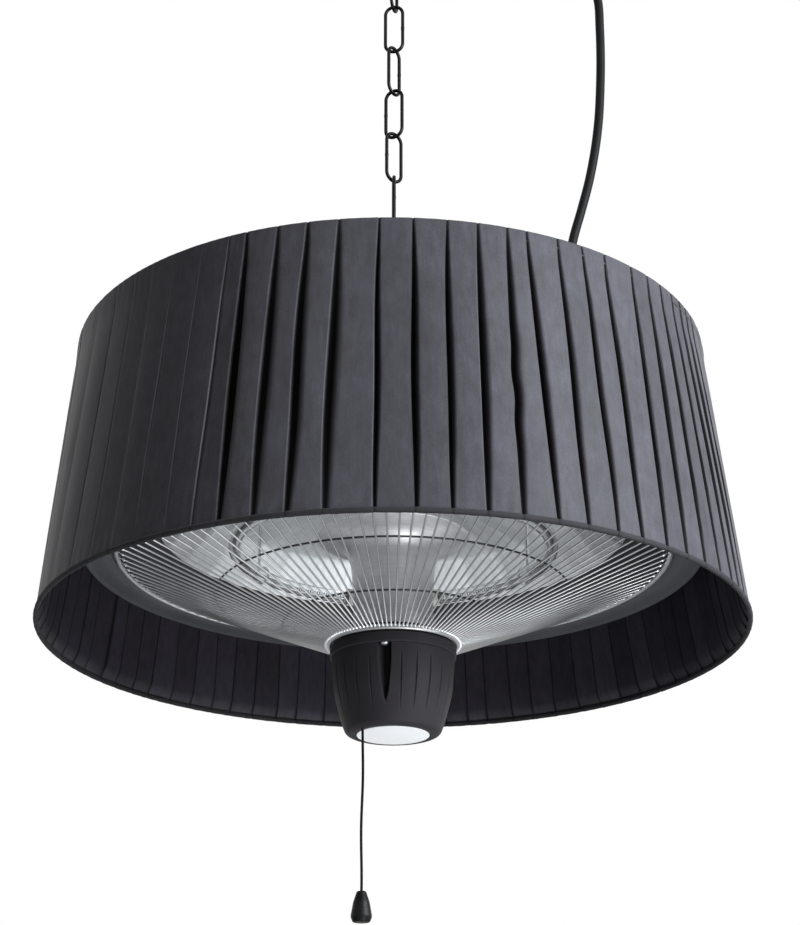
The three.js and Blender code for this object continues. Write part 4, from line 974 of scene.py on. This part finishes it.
        # The lining runs back down inside, with a seam at every crease
        join = np.argmin(np.abs(creases[:, 1] - 360 - SEEN_JOIN[1]))
        seam_wide = np.where(order == join, 0.0026, 0.0006)
        seam_after = np.exp(-((after / seam_wide[ribbon]) ** 2))
        seam_before = np.exp(-((before / np.roll(seam_wide, -1)[ribbon]) ** 2))
        seam = np.maximum(seam_after, seam_before)[::lining_step]
        inside = (cone - 0.0030 - (sizes.fold_depth * 1.15) * open_part)[::lining_step] - 0.0004 * seam
        inside = inside + 0.0003 * np.sin(2 * math.pi * share + phase)
        columns = len(share)
        radius = np.vstack([outside, inside])
        turns = np.vstack([turn, turn[::lining_step]])
        heights = np.repeat(np.vstack([height, height[::lining_step]]), columns, axis=1)
        shift = sizes.top_shift * (heights - FOOT) / sizes.height
        points = np.stack([radius * np.sin(turns) + shift, -radius * np.cos(turns), heights], -1)
        count = len(radius)
        marks = {
            "across": turns * sizes.bottom_radius,
            "up": heights - FOOT,
            # Painted shade in the outer grooves, dark seam lines on the lining
            "fold": np.vstack([fold, 0.85 * seam]),
            "lining": np.vstack([np.zeros_like(outside), np.ones_like(inside)]),
            "pressed": np.vstack([pressed, np.zeros_like(inside)]),
            "tone": np.tile(draw.uniform(0, 1, PLEATS)[ribbon], (count, 1)),
        }
        parts = [(points.reshape(-1, 3), strip_faces(count, columns, True))]
        return make_piece("pleated_cloth", parts, "cloth", "heater", "shade_cloth", 75, marks)

    def hem(self, name, radius, foot, creases, sizes):
        """Cloth rolled round the rim wire, nipped where each fold is sewn down."""
        section = full_turn(16)
        spots = np.radians(np.sort(creases))
        ahead = np.roll(spots, -1)
        ahead[-1] += 2 * math.pi
        across = np.array([0, 0.03, 0.06, 0.12, 0.25, 0.4, 0.6, 0.75, 0.88, 0.94, 0.97])
        turn = (spots[:, None] + (ahead - spots)[:, None] * across).ravel()
        spans = np.repeat(ahead - spots, len(across))
        away = np.tile(np.minimum(across, 1 - across), len(spots)) * spans * radius
        nip = np.exp(-((away / 0.0008) ** 2))
        ripple = 0.00016 * np.sin(turn * 173) + 0.00012 * np.sin(turn * 97 + 1)
        wide = (0.0020 - 0.0002 * nip + 0.5 * ripple)[:, None]
        tall = (sizes.hem / 2 - 0.0002 - 0.0002 * nip + 0.5 * ripple)[:, None]
        r = radius - 0.0021 + wide * np.cos(section)
        z = foot + sizes.hem / 2 + tall * np.sin(section)
        shift = sizes.top_shift * (z - FOOT) / sizes.height
        points = np.stack([r * np.sin(turn)[:, None] + shift, -r * np.cos(turn)[:, None], z], -1)
        parts = [(points.reshape(-1, 3), strip_faces(len(turn), len(section), True))]
        # Painted shade in each nip
        marks = {"fold": np.repeat(0.8 * nip, len(section))}
        return make_piece(f"{name}_rolled", parts, name, "heater", f"shade_{name}", 60, marks)

    def spider(self):
        low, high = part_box("shade_spider")
        z, wire = (low.z + high.z) / 2, 0.005
        ring = high.x - wire / 2
        parts = [hoop(ring, wire, z)]
        for i in range(3):
            turn = math.pi / 2 + i * 2 * math.pi / 3
            line = [polar(r, turn, z) for r in np.linspace(0.014, ring, 12)]
            parts.append(tube(line, wire / 2 - 0.00025, 14))
        bottom, top = z - wire / 2, z + wire / 2
        boss = [(STEM_HOLE, bottom), (0.016, bottom), (0.016, top), (STEM_HOLE, top)]
        parts.append(turned(softened(boss, 0.0008), 48))
        make_piece("wire_spider", parts, "black_steel", "heater", "shade_spider", 50)


class HEATER_OT_head(SceneOperator):
    """Makes the stem with its eye, the spun dish, the faceted reflector and the top cover"""

    bl_idname = "heater.make_head"
    bl_label = "Heater head"

    def execute(self, context):
        self.dish()
        self.reflector()
        self.cover()
        self.eye()
        for name in ("head_nut_upper", "head_nut_lower", "hub_nut"):
            dress(name, "zinc", 0.0006)
        dress("stem_rod", "zinc")
        self.sleeve()
        dress("terminal_block", "white_plastic", 0.0006)
        return {"FINISHED"}

    def dish(self):
        under = [
            (242, 70.3), (262, 70.0), (264.6, 69.4), (266.6, 68.9), (268, 70.4), (266.8, 72.3), (264.4, 72.0),
            (262, 72.3), (243.4, 72.6),
        ]
        bowl = [
            (227.4, 114), (190, 147), (150, 161), (84, 169.4), (5.3, 169.4), (5.3, 168), (84, 168),
            (150, 159), (189, 145.6), (226, 112.5),
        ]
        outline = softened([(r * MM, FOOT + z * MM) for r, z in [*under, *bowl]], 0.012, 5)
        make_piece("spun_dish", [turned(outline, 160)], "dark_paint", "heater", "dish", 50)

    def reflector(self):
        sides = 32
        half = math.pi / sides
        ring = [(205, 96), (172, 128), (46, 146), (9.4, 146), (9.4, 147), (46, 147), (172, 129), (205.4, 97)]
        outline = softened([(r * MM, FOOT + z * MM) for r, z in ring], 0.004, 3)

        def shape(turn):
            local = np.mod(turn, 2 * half) - half
            return math.cos(half) / np.cos(local)

        points, faces = turned(outline, 8 * sides, shape)
        turn = np.arctan2(points[:, 1], points[:, 0])
        local = np.abs(np.mod(turn, 2 * half) - half) / half
        reach = np.hypot(points[:, 0], points[:, 1])
        points[:, 2] += 0.0008 * local**6 * np.clip((reach - 0.05) / 0.1, 0, 1) * (reach < 0.19)
        parts = [(points, faces)]
        make_piece("faceted_reflector", parts, "polished_reflector", "heater", "reflector", 24)

    def cover(self):
        low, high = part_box("top_cover")
        bottom, top = low.z, high.z
        outline = [
            (0.074, bottom), (0.074, top - 0.012), (0.070, top - 0.004), (0.062, top), (STEM_HOLE, top),
            (STEM_HOLE, top - 0.002), (0.062, top - 0.002), (0.072, top - 0.012), (0.072, bottom),
        ]
        body = turned(softened(outline, 0.003, 4), 120)
        make_piece("round_cover", [body], "dark_paint", "heater", "top_cover", 50)

    def sleeve(self):
        """Centre tube and the flared sleeve round it, which is spun from sheet with a plain top edge."""
        low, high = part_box("centre_tube")
        wide = high.x / MM
        foot, wall = -8.4, 0.6
        flare = [
            (33.5, foot), (34.0, 20), (34.8, 45), (36.4, 63), (39.2, 73), (43.8, 80.2), (50, 85),
            (57.5, 87.9), (wide, 89.2),
        ]
        outer = centripetal([(r, z, 0) for r, z in flare], 6)[:, :2]
        inner = outer[::-1] + (-wall, 0.8)
        bore, tube_radius = 0.0076, 9
        floor = [(tube_radius, inner[-1][1]), (tube_radius, foot)]
        outline = np.vstack([outer, [(wide, 90)], inner[1:], floor]) * MM + (0, FOOT)
        tube_outline = [(bore, low.z), (0.009, low.z), (0.009, high.z), (bore, high.z)]
        parts = [turned(outline, 128), turned(softened(tube_outline, 0.0003, 2), 48)]
        make_piece("flared_sleeve", parts, "brushed_sleeve", "heater", "centre_tube", 50)

    def eye(self):
        low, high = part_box("suspension_eye")
        centre = high.z - 0.015
        turn = full_turn(72)
        ring = np.column_stack([0.012 * np.cos(turn), np.zeros(72), centre + 0.012 * np.sin(turn)])
        foot, shoulder, thread_end = low.z, low.z + 0.0165, low.z + 0.0103
        collar = [
            (STEM_HOLE, foot), (0.008, foot), (0.008, foot + 0.013), (0.0055, shoulder), (0, shoulder),
            (0, thread_end), (STEM_HOLE, thread_end),
        ]
        parts = [tube(ring, 0.003, 16, loop=True), turned(softened(collar[::-1], 0.0008, 3), 48)]
        make_piece("eye_nut", parts, "black_steel", "heater", "suspension_eye", 50)


class HEATER_OT_tube(SceneOperator):
    """Makes the clear ring tube, the wound heating wire inside it, its ends and its clips"""

    bl_idname = "heater.make_tube"
    bl_label = "Ring tube"

    def execute(self, context):
        z = FOOT + TUBE_HEIGHT
        turn = self.open_ring(31, 144)
        outer = np.array([polar(TUBE_RING, t, z) for t in turn])
        self.glass(outer, context.scene.heater_head.tube / 2)
        self.wire(z)
        for name in ("tube_end_left", "tube_end_right"):
            dress(name, "ceramic", 0.0005)
        for i in range(3):
            self.clip(i, z)
        return {"FINISHED"}

    def open_ring(self, opening, count):
        start = math.pi / 2 + math.radians(opening) / 2
        return start + np.linspace(0, 2 * math.pi - math.radians(opening), count)

    def glass(self, path, radius):
        """An open tube with a wall: the inner skin runs back through the outer one."""
        outer, _ = tube(path, radius, TUBE_SIDES)
        inner, _ = tube(path, radius - 0.0012, TUBE_SIDES)
        count = len(path)
        points = np.vstack([outer, inner.reshape(count, TUBE_SIDES, 3)[::-1].reshape(-1, 3)])
        parts = [(points, strip_faces(2 * count, TUBE_SIDES, True))]
        make_piece("clear_ring_tube", parts, "quartz", "heater", "quartz_ring", 50)

    def wire(self, z):
        count, turns, wound_radius = 3000, 330, 0.0014
        turn = self.open_ring(31.4, count)
        wound = np.linspace(0, 2 * math.pi * turns, count)
        radius, height = TUBE_RING + wound_radius * np.cos(wound), z + wound_radius * np.sin(wound)
        path = np.column_stack([radius * np.cos(turn), radius * np.sin(turn), height])
        make_piece("wound_heating_wire", [tube(path, 0.00032, 5)], "heating_wire", "heater", "filament", 80)

    def clip(self, i, z):
        turn = math.pi / 2 + (2 * i + 1) * math.pi / 3
        sweep = math.radians(320)
        bend = math.pi / 2 + math.radians(20) + np.linspace(0, sweep, 40)
        loop = 0.0075
        path = np.column_stack([loop * np.cos(bend), np.zeros(40), loop * np.sin(bend)])
        end = path[-1]
        rise = [(end[0], 0, end[2] + 0.001), (end[0], 0, 0.012), (end[0], 0, 0.0515)]
        path = np.vstack([path[:-1], centripetal([path[-1], *rise], 6)])
        path = turned_about_z(path, turn) + polar(TUBE_RING, turn, z)
        node = f"tube_clip_{i + 1}"
        make_piece(f"spring_clip_{i + 1}", [tube(path, 0.0012, 12)], "zinc", "heater", node, 60)


class HEATER_OT_guard(SceneOperator):
    """Makes the welded wire guard and its two support hoops"""

    bl_idname = "heater.make_guard"
    bl_label = "Wire guard"

    def execute(self, context):
        sizes = context.scene.heater_head
        outer, inner = (0.2378, FOOT + 0.071), (0.0545, FOOT - 0.007)
        rings = [
            hoop(outer[0], sizes.outer_ring, outer[1], 240), hoop(inner[0], sizes.inner_ring, inner[1], 140),
        ]
        # Painted highlight: all over the outer ring, nowhere on the inner ring, and on each wire's weld
        # swellings below
        bright = [np.ones(len(rings[0][0])), np.zeros(len(rings[1][0]))]
        slope = (outer[1] - inner[1]) / (outer[0] - inner[0])
        reach = np.array([
            0.0530, 0.0545, 0.0559, 0.0565, 0.0579, 0.0585, 0.12, 0.18, 0.2300, 0.2308, 0.2324, 0.2332,
            0.2366,
        ])
        swell = np.array([0.8, 1, 1, 1.65, 1.65, 1, 1, 1, 1, 1.7, 1.7, 0.7, 0.6])
        wide, welded = sizes.guard_wire / 2 * swell, (swell > 1.2).astype(float)
        wires = []
        for i in range(sizes.guard_wires):
            turn = math.pi / 2 + (i + 0.5) * 2 * math.pi / sizes.guard_wires
            line = [polar(r, turn, inner[1] + (r - inner[0]) * slope) for r in reach]
            wires.append(tube(line, wide, 8))
            bright.append(np.repeat(welded, 8))
        marks = {"bright": np.concatenate(bright)}
        make_piece("welded_guard", [*rings, *wires], "bright_wire", "heater", "guard", 60, marks)
        hoop_wire = 0.0017
        for i, radius in enumerate((0.152, 0.094)):
            node = f"guard_hoop_{i + 1}"
            low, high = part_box(node)
            ring = hoop(radius, hoop_wire, (low.z + high.z) / 2, 160, 10)
            make_piece(f"support_hoop_{i + 1}", [ring], "hoop_wire", "heater", node, 60)
        return {"FINISHED"}


class HEATER_OT_hub(SceneOperator):
    """Makes the hub: collar, fluted cup with its tapered screw recesses, screws and bare plate"""

    bl_idname = "heater.make_hub"
    bl_label = "Hub"

    def execute(self, context):
        self.collar()
        self.cup(context.scene.heater_head)
        for i in range(3):
            self.screw(i)
        low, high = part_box("bottom_plate")
        plate = [(0, low.z), (0.0304, low.z), (0.0304, high.z), (0, high.z)]
        body = turned(softened(plate, 0.0004, 3, loop=False), 96)
        make_piece("bare_plate", [body], "white_plastic", "heater", "bottom_plate")
        return {"FINISHED"}

    def collar(self):
        top, bottom = FOOT - 0.009, FOOT - 0.0184
        lip = [(0.0500, top), (0.0500, top + 0.0085), (0.0470, top + 0.0085), (0.0470, top)]
        floor = [(0.0093, top - 0.004), (0.0487, top - 0.004)]
        outline = [*floor, (0.0487, bottom), (0.0535, bottom), (0.0535, top), *lip, (0.0093, top)]
        body = turned(softened(outline, 0.0014, 4), 144)
        make_piece("hub_collar_band", [body], "dark_plastic", "heater", "hub_collar", 50)

    def cup(self, sizes):
        """Cup whose wall is sunk at each flute and at each screw recess."""
        columns = 30 * sizes.flutes
        turn = full_turn(columns)
        wall = [
            (52, -18.7), (51.4, -29), (49.6, -48), (46.3, -62), (41.8, -77.6), (39.6, -82), (35.6, -83.9),
            (31.2, -84),
        ]
        radius, z, _ = centripetal([(*point, 0) for point in wall], 8).T
        flute = 2 * math.pi / sizes.flutes
        flute_top, flute_foot, half_width = -25, -73, 0.8
        local = (np.mod(turn, flute) - flute / 2)[None, :] * radius[:, None]
        span = np.clip((flute_top - z) / (flute_top - flute_foot), 0, 1)
        open_half = (half_width * np.sin(math.pi * span**0.8) ** 0.7)[:, None]
        inside = np.clip(1 - np.abs(local) / np.maximum(open_half, 1e-6), 0, 1)
        sunk = sizes.flute_depth / MM * np.minimum(1, open_half / half_width) * np.clip(inside * 1.6, 0, 1)
        sunk *= ((z < flute_top) & (z > flute_foot))[:, None]

        # Each recess is round at its top and narrows downwards; its inside gets painted shade, darkest on one
        # side
        painted_recess_shade = np.zeros_like(sunk)
        for i in range(3):
            middle = math.radians(262) + i * 2 * math.pi / 3
            off = (np.mod(turn - middle + math.pi, 2 * math.pi) - math.pi)[None, :] * radius[:, None]
            wide = 5.8 * np.clip((z + 65) / 34, 0, 1)[:, None] ** 0.45
            bowl = np.minimum(1.5 * np.sqrt(np.clip(wide**2 - off**2, 0, None)), 5.0)
            inside_recess = (np.abs(off) < 0.97 * wide) & (wide > 0.3)
            shade = np.clip((off / np.maximum(wide, 0.3) + 0.75) / 0.6, 0, 1)
            painted_recess_shade = np.where(inside_recess, shade * np.clip(bowl / 3.0, 0, 1), painted_recess_shade)
            sunk = np.maximum(sunk * (np.abs(off) > wide), bowl * (wide > 0.3))
        radius = radius[:, None] - sunk
        heights = np.repeat(z[:, None], columns, 1)
        wall = np.stack([radius * np.cos(turn), radius * np.sin(turn), heights], -1)
        back = [
            (31.0, -83.2), (30.7, -83.2), (0.001, -83.2), (0.001, -81), (31, -81), (36, -79), (43, -51),
            (44.5, -29), (43.5, -18.7),
        ]
        inner = np.array([[polar(r, t, h) for t in turn] for r, h in back])
        points = above_foot(np.vstack([wall, inner]).reshape(-1, 3))
        parts = [(points, strip_faces(len(wall) + len(inner), columns, True))]
        # Painted shade inside the screw recesses
        marks = {"fold": np.concatenate([painted_recess_shade.ravel(), np.zeros(columns * len(inner))])}
        make_piece("fluted_cup", parts, "dark_plastic", "heater", "hub_cup", 32, marks)

    def screw(self, i):
        node = f"hub_screw_{i + 1}"
        low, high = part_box(node)
        head = [(0, low.z), (0.0012, low.z), (0.0026, low.z + 0.0006), (0.0032, low.z + 0.0014)]
        outline = [*head, (0.0032, high.z), (0, high.z)]
        body = turned(softened(outline, 0.0006, 3, loop=False), 32, centre=centre_of(node))
        make_piece(f"pan_screw_{i + 1}", [body], "zinc", "heater", node)


class HEATER_OT_pull(SceneOperator):
    """Makes the pull cord with its bell, and finishes the switch and its lever"""

    bl_idname = "heater.make_pull"
    bl_label = "Pull cord and switch"

    def execute(self, context):
        radius, sides = context.scene.heater_cords.pull_cord / 2, 12
        low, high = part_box("pull_cord")
        x, y = centre_of("pull_cord")
        share = np.linspace(0, 1, 60)
        sway = 0.0007 * np.sin(share * math.pi) * np.sin(share * 7)
        line = np.column_stack([x + sway, y + 0 * share, high.z + (low.z - high.z) * share])
        bell = self.bell((x, y))
        marks = {"along": np.repeat(high.z - line[:, 2], sides)}
        parts = [tube(line, radius, sides)]
        cord = make_piece("pull_cord_braided", parts, "pull_cord", "bell", "pull_cord", 60, marks)
        dress("pull_cord_inner", "pull_cord")
        dress("pull_switch", "dark_plastic", 0.0005)
        dress("switch_lever", "white_plastic", 0.0004)
        return {"FINISHED"}

    def bell(self, centre):
        low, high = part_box("pull_bell")
        top, foot = high.z, low.z
        outline = [
            (0, foot), (0.0068, foot), (0.0083, foot + 0.0035), (0.0086, foot + 0.0049),
            (0.0066, top - 0.0085), (0.0046, top - 0.0028), (0.0040, top - 0.0008), (0.0031, top), (0, top),
        ]
        body = turned(softened(outline, 0.0012, 3, loop=False), 56, centre=centre)
        return make_piece("pull_bell_turned", [body], "black_plastic", "bell", "pull_bell")


class HEATER_PT_panel(bpy.types.Panel):
    """Lists the sizes, colours and pieces of the heater"""

    bl_idname = "HEATER_PT_panel"
    bl_label = "Patio heater"
    bl_space_type = "VIEW_3D"
    bl_region_type = "UI"
    bl_category = "Patio heater"

    def draw(self, context):
        for name in SETTINGS:
            box = self.layout.box()
            settings = getattr(context.scene, name)
            for key in own_keys(settings):
                box.prop(settings, key)
        for maker in MAKERS:
            self.layout.operator(maker.bl_idname)


SETTINGS = {
    "heater_shade": ShadeSizes,
    "heater_head": HeadSizes,
    "heater_cords": CordSizes,
    "heater_finishes": Finishes,
    "heater_lights": StageLights,
}
MAKERS = (
    HEATER_OT_stage, HEATER_OT_cords, HEATER_OT_chain, HEATER_OT_shade, HEATER_OT_head,
    HEATER_OT_tube, HEATER_OT_guard, HEATER_OT_hub, HEATER_OT_pull,
)


def register():
    for name, group in SETTINGS.items():
        bpy.utils.register_class(group)
        setattr(bpy.types.Scene, name, PointerProperty(type=group))
    for maker in (*MAKERS, HEATER_PT_panel):
        bpy.utils.register_class(maker)


def unregister():
    for maker in reversed((*MAKERS, HEATER_PT_panel)):
        bpy.utils.unregister_class(maker)
    for name, group in SETTINGS.items():
        delattr(bpy.types.Scene, name)
        bpy.utils.unregister_class(group)


def main():
    register()
    for maker in MAKERS:
        group, operator = maker.bl_idname.split(".")
        getattr(getattr(bpy.ops, group), operator)()
    bpy.context.view_layer.update()


if __name__ == "__main__":
    main()
